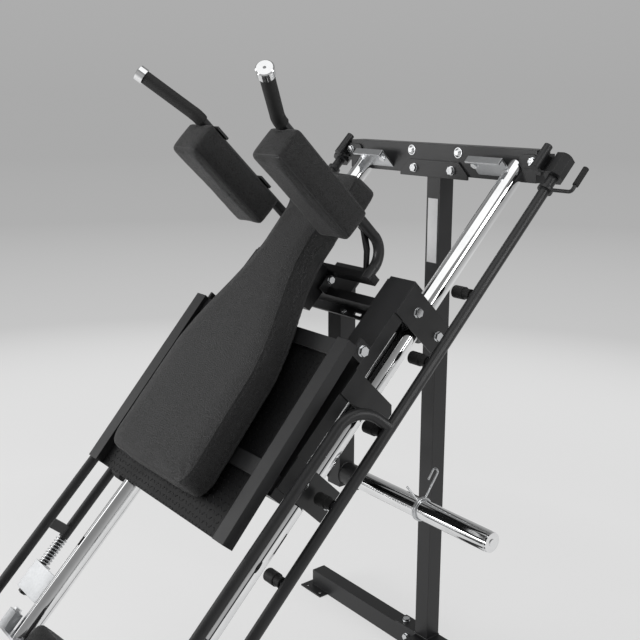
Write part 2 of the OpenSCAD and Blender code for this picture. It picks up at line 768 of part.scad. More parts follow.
// back pad frame: X across, Y along the pad, Z off its back
module back_axes() {
  rail() translate([0, back_low, back_off]) rotate([back_tilt, 0, 0]) children();
}
arm_u = sh_low + sh_t + arm_sink;
arm_knee = sh_off + sh_l + 17;
arm_low = 160;
grip_l = 152;
// height of the carrier's middle under the back pad
function under_back(u) = back_off + (u - back_low) * tan(back_tilt) - 5;
arm_bend = 54;
knee_turn = 34;
module pad_frame() {
  foot_u = pivot_u + 14.4;
  spine = 15;
  color(black) {
    rail() {
      both() translate([arm_x, arm_u, 0]) {
        translate([0, 0, arm_low - 3]) cylinder(d = arm_d, h = arm_knee - arm_low + 3);
        translate([0, 0, arm_knee]) sphere(d = arm_d + 1);
        translate([0, 0, arm_knee]) rotate([0, knee_turn, 0]) cylinder(d = arm_d, h = grip_l);
        // bend towards the pivot
        translate([0, -arm_bend, arm_low]) rotate([90, 0, 90]) rotate([0, 0, -90])
          rotate_extrude(angle = 90) translate([arm_bend, 0]) circle(d = arm_d + 0.6);
        translate([0, 0, arm_low - arm_bend]) ycyl(arm_d, foot_u - arm_u, -arm_bend + 3);
        // tabs behind the shoulder pad
        for (n = [sh_off + 50, sh_off + sh_l - 60])
          translate([-47, stop_gap - arm_sink, n]) cube([72, 6, 40]);
      }
      // cross tube behind the pivot, and the pivot's barrel
      translate([-arm_x - arm_d / 2 - 2, foot_u, pivot_n - 6]) cube([2 * arm_x + arm_d + 4, 20, 24]);
      difference() {
        union() {
          translate([0, pivot_u, pivot_n]) xcyl(22, -20.6, 20.6);
          // spine that carries the back pad and rests on the cross beam
          translate([-spine, 0, 0]) rotate([90, 0, 90]) linear_extrude(2 * spine)
            polygon([[pivot_u - 92, pivot_n - 12 + stop_gap], [pivot_u - 5, pivot_n - 12 + stop_gap],
              [pivot_u + 8, pivot_n - 6], [foot_u + 6, pivot_n - 6], [foot_u + 6, under_back(foot_u + 6)],
              [pivot_u - 108, under_back(pivot_u - 108)]]);
        }
        translate([0, pivot_u, pivot_n]) xcyl(10 + 2 * run_gap, -30, 30);
      }
      // flat bars beside the bends, each with a block on its tube
      both() {
        translate([arm_x - arm_d / 2 - 12, 0, 0]) rotate([90, 0, 90]) linear_extrude(10)
          polygon([[foot_u + 4, pivot_n + 4], [foot_u + 16, pivot_n + 4], [arm_u - 22, arm_low - 24],
            [arm_u + 4, arm_low + 16], [arm_u + 4, arm_low + 40], [arm_u - 34, arm_low - 20]]);
        translate([arm_x - arm_d / 2 - 12, arm_u - 6, arm_low + 20]) cube([arm_d / 2 + 12, 10, 16]);
      }
    }
    // carrier under the back pad
    back_axes() translate([-60, 500, -8 - stop_gap]) cube([120, 150, 8]);
  }
}

// Back pad: wide below, drawn in to the head, crowned
function back_half_at(u) = let (low = min(1, u / 300), mid = min(1, max(0, (u - 300) / 310)),
  head = min(1, max(0, (u - 735) / 40)))
  back_half - 5 * low - (back_half - 5 - head_half) * (mid - 0.0557 * sin(360 * mid))
  + (head_end - head_half) * (0.5 - 0.5 * cos(180 * head));
module back_pad() {
  side = 40;
  corner = 50;
  round = 26;
  us = [for (i = [0:6]) corner * (1 - cos(90 * i / 6))];
  ue = [for (i = [0:5]) back_l - round * (1 - cos(90 * i / 5))];
  mid = [100, 180, 260, 300, 340, 380, 420, 460, 500, 540, 580, 610, 670, 735, 755, 775];
  stations = concat(us, mid, [for (i = [0:5]) ue[5 - i]]);
  function half_at(u) = u < corner
    ? back_half_at(u) - side * (1 - sqrt(max(0, 1 - pow(1 - u / corner, 2))))
    : u > back_l - round
    ? head_end - round * (1 - sqrt(max(0, 1 - pow((u - back_l + round) / round, 2))))
    : back_half_at(u);
  // section of one station: back edge, drawn-in side, rounded shoulder, crown
  function rib(u) = let (h = half_at(u), k = min(1, (u + 5) / 18, (back_l - u + 5) / 18),
    t = back_t * (0.8 + 0.2 * sqrt(k)))
    [[-h + 4, u, 0], [-h + 1, u, 8], [-h, u, t * 0.5], [-h + 2, u, t - 14], [-h + 9, u, t - 5],
     [-h * 0.7, u, t - 1.2], [0, u, t], [h * 0.7, u, t - 1.2], [h - 9, u, t - 5], [h - 2, u, t - 14],
     [h, u, t * 0.5], [h - 1, u, 8], [h - 4, u, 0]];
  n = len(stations) - 1;
  ribs = [for (i = [0:n]) rib(stations[i])];
  pts = [for (r = ribs) for (p = r) p];
  m = 13;
  color(dark) back_axes() polyhedron(pts, concat(
    [for (i = [0:n - 1]) for (k = [0:m - 1]) [i * m + k, (i + 1) * m + k, i * m + (k + 1) % m]],
    [for (i = [0:n - 1]) for (k = [0:m - 1])
      [i * m + (k + 1) % m, (i + 1) * m + k, (i + 1) * m + (k + 1) % m]],
    [for (k = [1:m - 2]) [0, k, k + 1]],
    [for (k = [1:m - 2]) [n * m, n * m + k + 1, n * m + k]]));
}

// Shoulder pads: upright cushions facing down the rods
module shoulder_right() {
  color(dark) rail() translate([sh_in + sh_w / 2, sh_low + sh_t, sh_off + sh_l / 2])
    rotate([90, 0, 0]) difference() {
      cushion(sh_w, sh_l, sh_t, 20, 10, 2);
      // groove for the tube at its back
      translate([arm_x - sh_in - sh_w / 2, 0, -arm_sink]) ycyl(arm_d + 1.2, -sh_l, sh_l, $fn = 24);
    }
}
module shoulder_left() { mirror([1, 0, 0]) shoulder_right(); }

module knee_axes() {
  rail() translate([arm_x, arm_u, arm_knee]) rotate([0, knee_turn, 0]) children();
}
module grips() {
  bend = 45;
  cut = bend * tan(knee_turn / 2);
  start = arm_knee - sh_off - sh_l - 1;
  color(dark) rail() both() translate([arm_x, arm_u, arm_knee]) difference() {
    union() {
      translate([0, 0, -start]) cylinder(d = grip_d, h = start - cut + 2);
      translate([bend, 0, -cut]) rotate([90, 0, 0]) rotate([0, 0, 180 - knee_turn])
        rotate_extrude(angle = knee_turn) translate([bend, 0]) circle(d = grip_d + 0.6);
      rotate([0, knee_turn, 0]) translate([0, 0, cut - 2]) cylinder(d = grip_d, h = grip_l - cut + 2);
    }
    translate([0, 0, -60]) cylinder(d = arm_d, h = 60);
    sphere(d = arm_d + 1);
    rotate([0, knee_turn, 0]) cylinder(d = arm_d, h = grip_l + 20);
  }
}
module grip_caps() {
  color(chrome) both() knee_axes() {
    translate([0, 0, grip_l + 0.2]) difference() {
      union() {
        cylinder(d = cap_d, h = 20);
        translate([0, 0, 20]) cylinder(d1 = cap_d, d2 = cap_d - 5, h = 2);
      }
      translate([0, 0, 18]) cylinder(d = 7, h = 10);
    }
  }
}

// Backrest: tube frame on its hinge, and its pad
module rest_frame() {
  color(black) rest_axes() {
    difference() {
      union() {
        xcyl(34, -57, 57);
        translate([-20, -58, 10]) cube([40, 30, 520]);
        translate([-20, -58, -14]) cube([40, 58, 28]);
      }
      xcyl(axle_d + 2 * run_gap, -70, 70);
    }
    for (z = [90, 430]) translate([-100, -28, z]) cube([200, 8, 60]);
  }
}
module rest_pad() {
  color(dark) rest_axes() translate([0, -20 + stop_gap, rest_l / 2 + 34]) rotate([-90, 0, 0])
    cushion(rest_w, rest_l, rest_t, 44, 14, 3);
}

// Squat platform: two arms in their sockets and a tread plate
module squat_frame() {
  color(black) rail() {
    both() {
      translate([squat_x - squat_arm / 2, squat_u - squat_arm / 2, socket_n + 4 + stop_gap])
        cube([squat_arm, squat_arm, squat_low + squat_l - socket_n - 4]);
    }
    for (n = [squat_low + 10, squat_low + squat_l - 50])
      translate([-squat_x + squat_arm / 2, squat_u - squat_arm / 2, n])
        cube([2 * squat_x - squat_arm, squat_arm, 30]);
  }
}
module squat_plate() {
  color(dark) rail() translate([-squat_x - squat_arm / 2, squat_u + squat_arm / 2, squat_low])
    cube([2 * squat_x + squat_arm, tread_t, squat_l]);
}

rear_base();
rear_post();
label_plate();
top_beam();
frame_bolts();
rod_left();
rod_right();
upper_clamps();
lower_clamps();
floor_beam();
lower_beam();
lower_post();
front_base();
seat_frame();
seat_pad();
bar_mount_left();
bar_mount_right();
bar_bracket_left();
bar_bracket_right();
bar_spring_left();
bar_spring_right();
bar_left();
bar_right();
pegs_left();
pegs_right();
bar_grips_left();
bar_grips_right();
side_beam_left();
side_beam_right();
cross_beams();
plate_frame();
tread_plate();
cheeks_left();
cheeks_right();
weight_post();
horn_left();
horn_right();
carriage_bolts();
roller_lt();
roller_lb();
roller_ut();
roller_ub();
roller_rlt();
roller_rlb();
roller_rut();
roller_rub();
collar_left();
collar_right();
pad_frame();
back_pad();
shoulder_left();
shoulder_right();
grips();
grip_caps();
rest_frame();
rest_pad();
squat_frame();
squat_plate();
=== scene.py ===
# Leg press and hack squat machine: cushions, springs, finishes, weld beads, tube caps and
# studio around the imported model's frame. Everything is in metres, in the model's own axes.
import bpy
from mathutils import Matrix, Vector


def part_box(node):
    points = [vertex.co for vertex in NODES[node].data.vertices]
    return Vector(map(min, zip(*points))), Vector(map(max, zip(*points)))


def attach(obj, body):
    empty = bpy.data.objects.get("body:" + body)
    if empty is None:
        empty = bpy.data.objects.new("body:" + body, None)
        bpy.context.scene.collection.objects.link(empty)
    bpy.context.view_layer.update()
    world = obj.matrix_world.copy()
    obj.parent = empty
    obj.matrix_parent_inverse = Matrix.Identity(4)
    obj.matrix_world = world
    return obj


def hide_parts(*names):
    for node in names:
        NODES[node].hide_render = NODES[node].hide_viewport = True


bl_info = {
    "name": "Leg press and hack squat machine",
    "version": (1, 0, 0),
    "blender": (4, 5, 0),
    "location": "View3D > Sidebar > Machine",
    "description": "Builds the machine's cushions, springs, welds and finishes",
    "category": "Object",
}

import math
import random
import bpy
import bmesh
from bpy.props import FloatProperty, FloatVectorProperty, PointerProperty
from mathutils import Matrix, Vector
from mathutils.bvhtree import BVHTree

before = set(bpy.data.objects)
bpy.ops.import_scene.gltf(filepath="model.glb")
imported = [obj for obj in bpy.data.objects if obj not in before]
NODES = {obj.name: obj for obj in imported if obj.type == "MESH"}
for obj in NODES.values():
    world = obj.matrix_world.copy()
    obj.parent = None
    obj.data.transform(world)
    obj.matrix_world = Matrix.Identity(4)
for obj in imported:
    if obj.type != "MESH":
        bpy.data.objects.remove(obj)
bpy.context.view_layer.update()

# Places on the machine: the rods' lower end and slope, and the cushions' axes.
QUARTER = math.radians(90)
SLOPE = math.radians(45)
UPHILL = (0.0, math.cos(SLOPE), math.sin(SLOPE))
SIDEWAYS = (1.0, 0.0, 0.0)
RAIL = Matrix.Translation((0, -1.150, 0.362)) @ Matrix.Rotation(SLOPE, 4, "X")
BACK_TILT = math.radians(4)
BACK = RAIL @ Matrix.Translation((0, 0.511, 0.131)) @ Matrix.Rotation(BACK_TILT, 4, "X")
SEAT_TILT = math.radians(32)
SEAT_Y, SEAT_Z = -1.140, 0.483
SEAT = Matrix.Translation((0, SEAT_Y, SEAT_Z)) @ Matrix.Rotation(SEAT_TILT, 4, "X")
HINGE_REACH, HINGE_DROP = 0.322, 0.030
REST_Y = SEAT_Y - HINGE_REACH * math.cos(SEAT_TILT) - HINGE_DROP
REST_Z = SEAT_Z - HINGE_REACH * math.sin(SEAT_TILT) - HINGE_DROP
REST_SLOPE = math.radians(42)
REST = Matrix.Translation((0, REST_Y, REST_Z)) @ Matrix.Rotation(REST_SLOPE, 4, "X")
HORNS_Y, HORNS_Z = -0.347, 0.695
FLOOR_TUBE_TOP = 0.0665

# Sizes of the cushions, as in the CAD
BACK_LENGTH, BACK_THICK = 0.840, 0.080
SHOULDER_WIDTH, SHOULDER_LENGTH, SHOULDER_THICK = 0.114, 0.284, 0.086
# where a shoulder pad starts: off the middle, up the rails and out from them
SHOULDER_IN, SHOULDER_U, SHOULDER_N = 0.113, 1.152, 0.250
SEAT_LENGTH, SEAT_THICK = 0.300, 0.098
REST_THICK = 0.062

# How the meshes are made: corners nearer than a weld are joined, and the share of a
# cushion's thickness next to its board is held while the cover, a cloth, swells.
SMOOTH_ANGLE = math.radians(32)
CAD_WELD, CUSHION_WELD = 0.00002, 0.00005
BOARD_SHARE = 0.12
COVER = {"quality": 5, "mass": 0.3, "tension_stiffness": 18, "compression_stiffness": 18,
         "shear_stiffness": 8, "bending_stiffness": 2, "use_pressure": True,
         "vertex_group_mass": "board"}
COVER_FRAMES = 20
LOOP_STEP, ARC_STEPS = 0.012, 8
BEAD_STEP, BEAD_WOBBLE = 0.004, 0.35
COAT_GRAINS = 950.0

PAINTED = ["rear_base", "rear_post", "top_beam", "floor_beam", "lower_beam", "lower_post",
           "front_base", "seat_frame", "bar_mount_left", "bar_mount_right", "bar_left",
           "bar_right", "side_beam_left", "side_beam_right", "cross_beams", "plate_frame",
           "cheeks_left", "cheeks_right", "weight_post", "pad_frame", "rest_frame",
           "squat_frame"]
GALVANISED = ["upper_clamps", "lower_clamps", "bar_bracket_left", "bar_bracket_right",
              "collar_left", "collar_right"]
BOLTED = ["frame_bolts", "carriage_bolts"]
RUBBERY = ["pegs_left", "pegs_right", "bar_grips_left", "bar_grips_right", "grips"]
TREADED = ["tread_plate", "squat_plate"]
ROLLERS = ["roller_lt", "roller_lb", "roller_ut", "roller_ub", "roller_rlt", "roller_rlb",
           "roller_rut", "roller_rub"]


# ---------------------------------------------------------------- settings
class MachineFinish(bpy.types.PropertyGroup):
    """Colours and surface values of the machine's finishes"""
    paint: FloatVectorProperty(name="Frame paint", description="Powder coat of the frame",
                               subtype="COLOR", default=(0.0135, 0.0137, 0.0145), min=0, max=1)
    paint_rough: FloatProperty(name="Paint roughness", description="Satin level of the coat",
                               default=0.4, min=0, max=1, subtype="FACTOR")
    vinyl: FloatVectorProperty(name="Cushion vinyl", description="Cover of the cushions",
                               subtype="COLOR", default=(0.0145, 0.0145, 0.0151), min=0, max=1)
    vinyl_grain: FloatProperty(name="Grain size", description="Width of one vinyl grain",
                               default=0.0036, min=0.0005, max=0.01, unit="LENGTH")
    chrome: FloatVectorProperty(name="Chrome", description="Plated rods, horns and caps",
                                subtype="COLOR", default=(0.84, 0.85, 0.86), min=0, max=1)
    zinc: FloatVectorProperty(name="Zinc", description="Plated brackets and collars",
                              subtype="COLOR", default=(0.56, 0.57, 0.58), min=0, max=1)
    rubber: FloatVectorProperty(name="Rubber", description="Grips and peg sleeves",
                                subtype="COLOR", default=(0.014, 0.014, 0.014), min=0, max=1)
    label: FloatVectorProperty(name="Label plate", description="Blank plate on the rear post",
                               subtype="COLOR", default=(0.9, 0.9, 0.91), min=0, max=1)
    edge_radius: FloatProperty(name="Edge rounding", description="Softened edge of the steel",
                               default=0.0018, min=0, max=0.01, unit="LENGTH")


class MachineSizes(bpy.types.PropertyGroup):
    """Sizes of the soft pieces and small details"""
    voxel: FloatProperty(name="Cushion mesh", description="Size of a face on the cushions",
                         default=0.0055, min=0.003, max=0.02, unit="LENGTH")
    pressure: FloatProperty(name="Cushion pressure", description="How hard the foam pushes",
                            default=4.0, min=0, max=20)
    seam: FloatProperty(name="Seam", description="Radius of the seams' edging",
                        default=0.0011, min=0.0003, max=0.005, unit="LENGTH")
    bead: FloatProperty(name="Weld bead", description="Radius of a weld bead",
                        default=0.0026, min=0.001, max=0.006, unit="LENGTH")
    tread_pitch: FloatProperty(name="Tread pitch", description="Distance between tread marks",
                               default=0.0145, min=0.005, max=0.05, unit="LENGTH")
    spring_wire: FloatProperty(name="Spring wire", description="Thickness of the spring's wire",
                               default=0.0045, min=0.002, max=0.01, unit="LENGTH")
    spring_turns: FloatProperty(name="Spring turns", description="Free turns of the spring",
                                default=7.5, min=3, max=15)


class MachineStage(bpy.types.PropertyGroup):
    """Camera, lamps and backdrop"""
    camera_at: FloatVectorProperty(name="Camera", description="Place of the camera",
                                   default=(1.8033, -1.84825, 1.683), subtype="TRANSLATION")
    pitch: FloatProperty(name="Look down", description="Tilt of the camera below level",
                         default=math.radians(13.7), subtype="ANGLE")
    turn: FloatProperty(name="Turn", description="Heading of the camera",
                        default=math.radians(51.6), subtype="ANGLE")
    lens: FloatProperty(name="Lens", description="Focal length on a 36 mm sensor",
                        default=52.43, min=10, max=200)
    top_lamp: FloatProperty(name="Top lamp", description="Power of the overhead softbox",
                            default=21.0, min=0, unit="POWER")
    side_lamp: FloatProperty(name="Side lamps", description="Power of the side softboxes",
                             default=29.0, min=0, unit="POWER")
    front_lamp: FloatProperty(name="Front lamp", description="Power of the front softbox",
                              default=150.0, min=0, unit="POWER")
    fill: FloatProperty(name="Fill light", description="Strength of the soft surrounding light",
                        default=0.27, min=0, max=2)


# ---------------------------------------------------------------- shader helpers
def feed(tree, n, values):
    """Link an output socket to each named input, or set the input to a plain value"""
    for k, v in values.items():
        if hasattr(v, "is_output"):
            tree.links.new(v, n.inputs[k])
        else:
            n.inputs[k].default_value = v
    return n


def node(tree, kind, values=None, **attributes):
    n = tree.nodes.new(kind)
    for k, v in attributes.items():
        setattr(n, k, v)
    return feed(tree, n, values or {})


def calc(tree, operation, a, b=0.0, c=0.0, clamp=False):
    n = node(tree, "ShaderNodeMath", {0: a, 1: b, 2: c}, operation=operation, use_clamp=clamp)
    return n.outputs[0]


def vector_calc(tree, operation, a, b=None):
    """Vector maths; for SCALE, b is the factor"""
    values = {0: a}
    if b is not None:
        values[3 if operation == "SCALE" else 1] = b
    n = node(tree, "ShaderNodeVectorMath", values, operation=operation)
    return n.outputs["Value" if operation in ("DOT_PRODUCT", "DISTANCE") else "Vector"]


def noise(tree, vector, scale, detail, roughness=0.5):
    return node(tree, "ShaderNodeTexNoise", {"Vector": vector, "Scale": scale, "Detail": detail,
                                             "Roughness": roughness}).outputs["Fac"]


def span(tree, value, low, high, to_low=0.0, to_high=1.0, smooth=True):
    """The value's range from low to high, mapped to another and kept inside it"""
    n = node(tree, "ShaderNodeMapRange", {"Value": value, "From Min": low, "From Max": high,
                                          "To Min": to_low, "To Max": to_high},
             interpolation_type="SMOOTHSTEP" if smooth else "LINEAR")
    return n.outputs["Result"]


def blend_colour(tree, factor, a, b):
    a, b = (v if hasattr(v, "is_output") else (*v[:3], 1) for v in (a, b))
    return node(tree, "ShaderNodeMix", {0: factor, 6: a, 7: b}, data_type="RGBA").outputs[2]


def new_group(name, inputs, outputs):
    """A shader group with named sockets: (name, kind, default) in, (name, kind) out"""
    g = bpy.data.node_groups.new(name, "ShaderNodeTree")
    for label, kind, default in inputs:
        s = g.interface.new_socket(label, in_out="INPUT", socket_type=kind)
        if default is not None:
            s.default_value = default
    for label, kind in outputs:
        g.interface.new_socket(label, in_out="OUTPUT", socket_type=kind)
    return g, g.nodes.new("NodeGroupInput").outputs, g.nodes.new("NodeGroupOutput")


F, V = "NodeSocketFloat", "NodeSocketVector"
groups = {}


def powder_coat_group():
    """Fine bumps and mottling of sprayed powder"""
    g, i, o = new_group("powder coat", [("Vector", V, None), ("Scale", F, 900.0)],
                        [("Height", F), ("Roughness", F), ("Shade", F)])
    fine = noise(g, i["Vector"], i["Scale"], 2.0, 0.6)
    wide = noise(g, i["Vector"], 9.0, 5.0, 0.62)
    rough = calc(g, "ADD", span(g, wide, 0.3, 0.75, -0.05, 0.07),
                 span(g, fine, 0.3, 0.7, -0.02, 0.03))
    feed(g, o, {"Height": fine, "Roughness": rough,
                "Shade": span(g, wide, 0.3, 0.7, 0.86, 1.16)})
    return g


def edge_group():
    """Rounded edges: a normal for the shading and a mask of edges that the finishes paint
    lighter, partly as rubbed wear and partly as a painted edge highlight
    """
    g, i, o = new_group("rounded edge", [("Vector", V, None), ("Radius", F, 0.002),
                                         ("Wear and painted highlight", F, 0.5)], [("Normal", V), ("Mask", F)])
    rounded = node(g, "ShaderNodeBevel", {"Radius": i["Radius"]}, samples=6).outputs[0]
    true = g.nodes.new("ShaderNodeNewGeometry").outputs["Normal"]
    edge = span(g, vector_calc(g, "DOT_PRODUCT", rounded, true), 0.985, 0.86)
    patch = span(g, noise(g, i["Vector"], 28.0, 6.0, 0.7), 0.42, 0.66)
    # mask of the edges that are painted lighter: partly rubbed wear, partly a painted highlight
    # along the edges
    mask = calc(g, "MULTIPLY", calc(g, "MULTIPLY", edge, patch), i["Wear and painted highlight"], clamp=True)
    feed(g, o, {"Normal": rounded, "Mask": mask})
    return g


def dust_group():
    """Thin dust and hand marks, more on faces that look up"""
    g, i, o = new_group("dust", [("Vector", V, None), ("Amount", F, 0.3)], [("Mask", F)])
    normal = g.nodes.new("ShaderNodeNewGeometry").outputs["Normal"]
    up = node(g, "ShaderNodeSeparateXYZ", {0: normal}).outputs["Z"]
    mask = calc(g, "MULTIPLY", span(g, up, 0.1, 1.0),
                span(g, noise(g, i["Vector"], 14.0, 8.0, 0.75), 0.35, 0.8))
    feed(g, o, {"Mask": calc(g, "MULTIPLY", mask, i["Amount"], clamp=True)})
    return g


def hide_group():
    """Pebbled vinyl grain: rounded cells with fine creases between them; its Shade paints the
    creases darker as shade and the crowns lighter as a highlight
    """
    g, i, o = new_group("vinyl grain", [("Vector", V, None), ("Scale", F, 600.0)],
                        [("Height", F), ("Shade", F), ("Roughness", F)])
    warp = node(g, "ShaderNodeTexNoise", {"Vector": i["Vector"], "Scale": 120.0, "Detail": 2.0})
    push = vector_calc(g, "MULTIPLY", warp.outputs["Color"], (0.0011, 0.0011, 0.0011))
    cells = node(g, "ShaderNodeTexVoronoi", {"Vector": vector_calc(g, "ADD", i["Vector"], push),
                                             "Scale": i["Scale"]}, feature="DISTANCE_TO_EDGE")
    pebble = span(g, cells.outputs["Distance"], 0.0, 0.24)
    grit = noise(g, i["Vector"], 2300.0, 2.0)
    wide = noise(g, i["Vector"], 7.0, 4.0)
    # painted shade in the creases and painted highlight on the crowns, with a wide random tone
    shade = calc(g, "MULTIPLY", span(g, pebble, 0.0, 1.0, 0.2, 1.25),
                 span(g, wide, 0.3, 0.7, 0.92, 1.12))
    rough = calc(g, "ADD", span(g, wide, 0.3, 0.7, -0.04, 0.05),
                 span(g, pebble, 0.0, 1.0, 0.2, -0.05))
    feed(g, o, {"Height": calc(g, "MULTIPLY_ADD", grit, 0.18, pebble), "Shade": shade,
                "Roughness": rough})
    return g


def brushed_group():
    """Streaks along one direction, for plated and drawn metal"""
    g, i, o = new_group("drawn metal", [("Vector", V, None), ("Along", V, (0.0, 0.7, 0.7)),
                                        ("Scale", F, 700.0)],
                        [("Height", F), ("Roughness", F), ("Shade", F)])
    along = vector_calc(g, "DOT_PRODUCT", i["Vector"], i["Along"])
    back = vector_calc(g, "SCALE", i["Along"], along)
    flat = vector_calc(g, "SUBTRACT", i["Vector"], back)
    drawn_out = vector_calc(g, "ADD", flat, vector_calc(g, "SCALE", back, 0.02))
    streak = noise(g, drawn_out, i["Scale"], 3.0)
    smear = noise(g, i["Vector"], 11.0, 6.0, 0.7)
    rough = calc(g, "ADD", span(g, streak, 0.3, 0.7, -0.015, 0.02),
                 span(g, smear, 0.45, 0.8, 0.0, 0.06))
    feed(g, o, {"Height": streak, "Roughness": rough,
                "Shade": span(g, smear, 0.3, 0.8, 1.04, 0.9)})
    return g


def tread_group():
    """Raised lozenges, turned left and right in turn, as on checker plate"""
    g, i, o = new_group("tread plate", [("Vector", V, None), ("Pitch", F, 0.0145)],
                        [("Height", F), ("Ridge", F)])
    across, along = (calc(g, "DIVIDE", vector_calc(g, "DOT_PRODUCT", i["Vector"], way),
                          i["Pitch"]) for way in ((1, 0, 0), UPHILL))
    odd = calc(g, "FLOORED_MODULO", calc(g, "ADD", calc(g, "FLOOR", across),
                                         calc(g, "FLOOR", along)), 2.0)
    turn = calc(g, "MULTIPLY_ADD", odd, 2.0, -1.0)
    a = calc(g, "SUBTRACT", calc(g, "FRACT", across), 0.5)
    b = calc(g, "MULTIPLY", calc(g, "SUBTRACT", calc(g, "FRACT", along), 0.5), turn)
    long, wide = (calc(g, "ABSOLUTE", calc(g, "MULTIPLY", calc(g, way, a, b), 0.7071))
                  for way in ("ADD", "SUBTRACT"))
    half_long, half_wide = 0.38, 0.13
    reach = calc(g, "ADD", calc(g, "POWER", calc(g, "DIVIDE", long, half_long), 2.0),
                 calc(g, "DIVIDE", wide, half_wide))
    feed(g, o, {"Height": span(g, reach, 1.0, 0.35), "Ridge": span(g, reach, 0.5, 0.1)})
    return g


def build_groups():
    groups.update(coat=powder_coat_group(), edge=edge_group(), dust=dust_group(),
                  hide=hide_group(), drawn=brushed_group(), tread=tread_group())


def use(tree, key, values):
    return feed(tree, node(tree, "ShaderNodeGroup", node_tree=groups[key]), values).outputs


def start(name, values):
    """A new material with its Principled BSDF set, and the coordinates of the mesh"""
    m = bpy.data.materials.new(name)
    m.use_nodes = True
    t = m.node_tree
    p = feed(t, t.nodes["Principled BSDF"], values)
    xyz = t.nodes.new("ShaderNodeTexCoord").outputs["Object"]
    return m, t, p, xyz


def bump(t, p, height, distance, strength=1.0, normal=None):
    n = node(t, "ShaderNodeBump", {"Height": height, "Distance": distance, "Strength": strength})
    if normal is not None:
        t.links.new(normal, n.inputs["Normal"])
    t.links.new(n.outputs["Normal"], p.inputs["Normal"])
    return n


def tone(t, colour, shade):
    """The colour made lighter and darker by a shade value round 1"""
    dark = [c * 0.8 for c in colour]
    light = [min(1, c * 1.25) for c in colour]
    return blend_colour(t, span(t, shade, 0.8, 1.2, smooth=False), dark, light)


def paint_material(look):
    m, t, p, xyz = start("frame paint", {"Specular IOR Level": 0.5, "Coat Roughness": 0.35})
    coat = use(t, "coat", {"Vector": xyz, "Scale": COAT_GRAINS})
    edge = use(t, "edge", {"Vector": xyz, "Radius": look.edge_radius, "Wear and painted highlight": 0.35})
    dust = use(t, "dust", {"Vector": xyz, "Amount": 0.04})
    base = tone(t, look.paint, coat["Shade"])
    # edges painted a lighter grey: partly rubbed coat, partly a painted edge highlight
    base = blend_colour(t, edge["Mask"], base, (0.055, 0.056, 0.058))
    base = blend_colour(t, dust["Mask"], base, (0.12, 0.12, 0.118))
    rough = calc(t, "ADD", coat["Roughness"], look.paint_rough)
    feed(t, p, {"Base Color": base,
                "Roughness": calc(t, "MULTIPLY_ADD", dust["Mask"], 0.6, rough, clamp=True)})
    bump(t, p, coat["Height"], 0.00012, 0.5, edge["Normal"])
    return m


def tread_material(look, sizes):
    m, t, p, xyz = start("tread plate", {"Specular IOR Level": 0.2})
    coat = use(t, "coat", {"Vector": xyz, "Scale": COAT_GRAINS})
    edge = use(t, "edge", {"Vector": xyz, "Radius": 0.001, "Wear and painted highlight": 0.5})
    marks = use(t, "tread", {"Vector": xyz, "Pitch": sizes.tread_pitch})
    dust = use(t, "dust", {"Vector": xyz, "Amount": 0.02})
    base = tone(t, [c * 0.4 for c in look.paint], coat["Shade"])
    rubbed = calc(t, "MULTIPLY", marks["Ridge"], 0.25)
    base = blend_colour(t, rubbed, base, (0.03, 0.031, 0.032))
    base = blend_colour(t, dust["Mask"], base, (0.11, 0.11, 0.108))
    rough = calc(t, "ADD", coat["Roughness"], 0.4)
    feed(t, p, {"Base Color": base,
                "Roughness": calc(t, "MULTIPLY_ADD", marks["Ridge"], -0.08, rough, clamp=True)})
    low = bump(t, p, coat["Height"], 0.0001, 0.5, edge["Normal"])
    bump(t, p, marks["Height"], 0.0034, 1.0, low.outputs["Normal"])
    return m


def plated_material(name, colour, rough, along, scale=700.0, radius=0.0):
    m, t, p, xyz = start(name, {"Metallic": 1.0})
    drawn = use(t, "drawn", {"Vector": xyz, "Along": along, "Scale": scale})
    feed(t, p, {"Base Color": tone(t, colour, drawn["Shade"]),
                "Roughness": calc(t, "ADD", drawn["Roughness"], rough, clamp=True)})
    if radius:
        edge = use(t, "edge", {"Vector": xyz, "Radius": radius, "Wear and painted highlight": 0.0})
        bump(t, p, drawn["Height"], 0.00003, 0.6, edge["Normal"])
    return m


def zinc_material(look):
    m, t, p, xyz = start("zinc plate", {"Metallic": 1.0})
    drawn = use(t, "drawn", {"Vector": xyz, "Along": SIDEWAYS, "Scale": 500.0})
    edge = use(t, "edge", {"Vector": xyz, "Radius": 0.0012, "Wear and painted highlight": 0.6})
    spangle = node(t, "ShaderNodeTexVoronoi", {"Vector": xyz, "Scale": 130.0})
    patch = span(t, spangle.outputs["Distance"], 0.1, 0.8, 0.97, 1.03)
    base = tone(t, look.zinc, calc(t, "MULTIPLY", drawn["Shade"], patch))
    # edges painted brighter: partly rubbed plating, partly a painted edge highlight
    feed(t, p, {"Base Color": blend_colour(t, edge["Mask"], base, (0.82, 0.83, 0.84)),
                "Roughness": calc(t, "ADD", drawn["Roughness"], 0.32, clamp=True)})
    bump(t, p, drawn["Height"], 0.00001, 0.3, edge["Normal"])
    return m


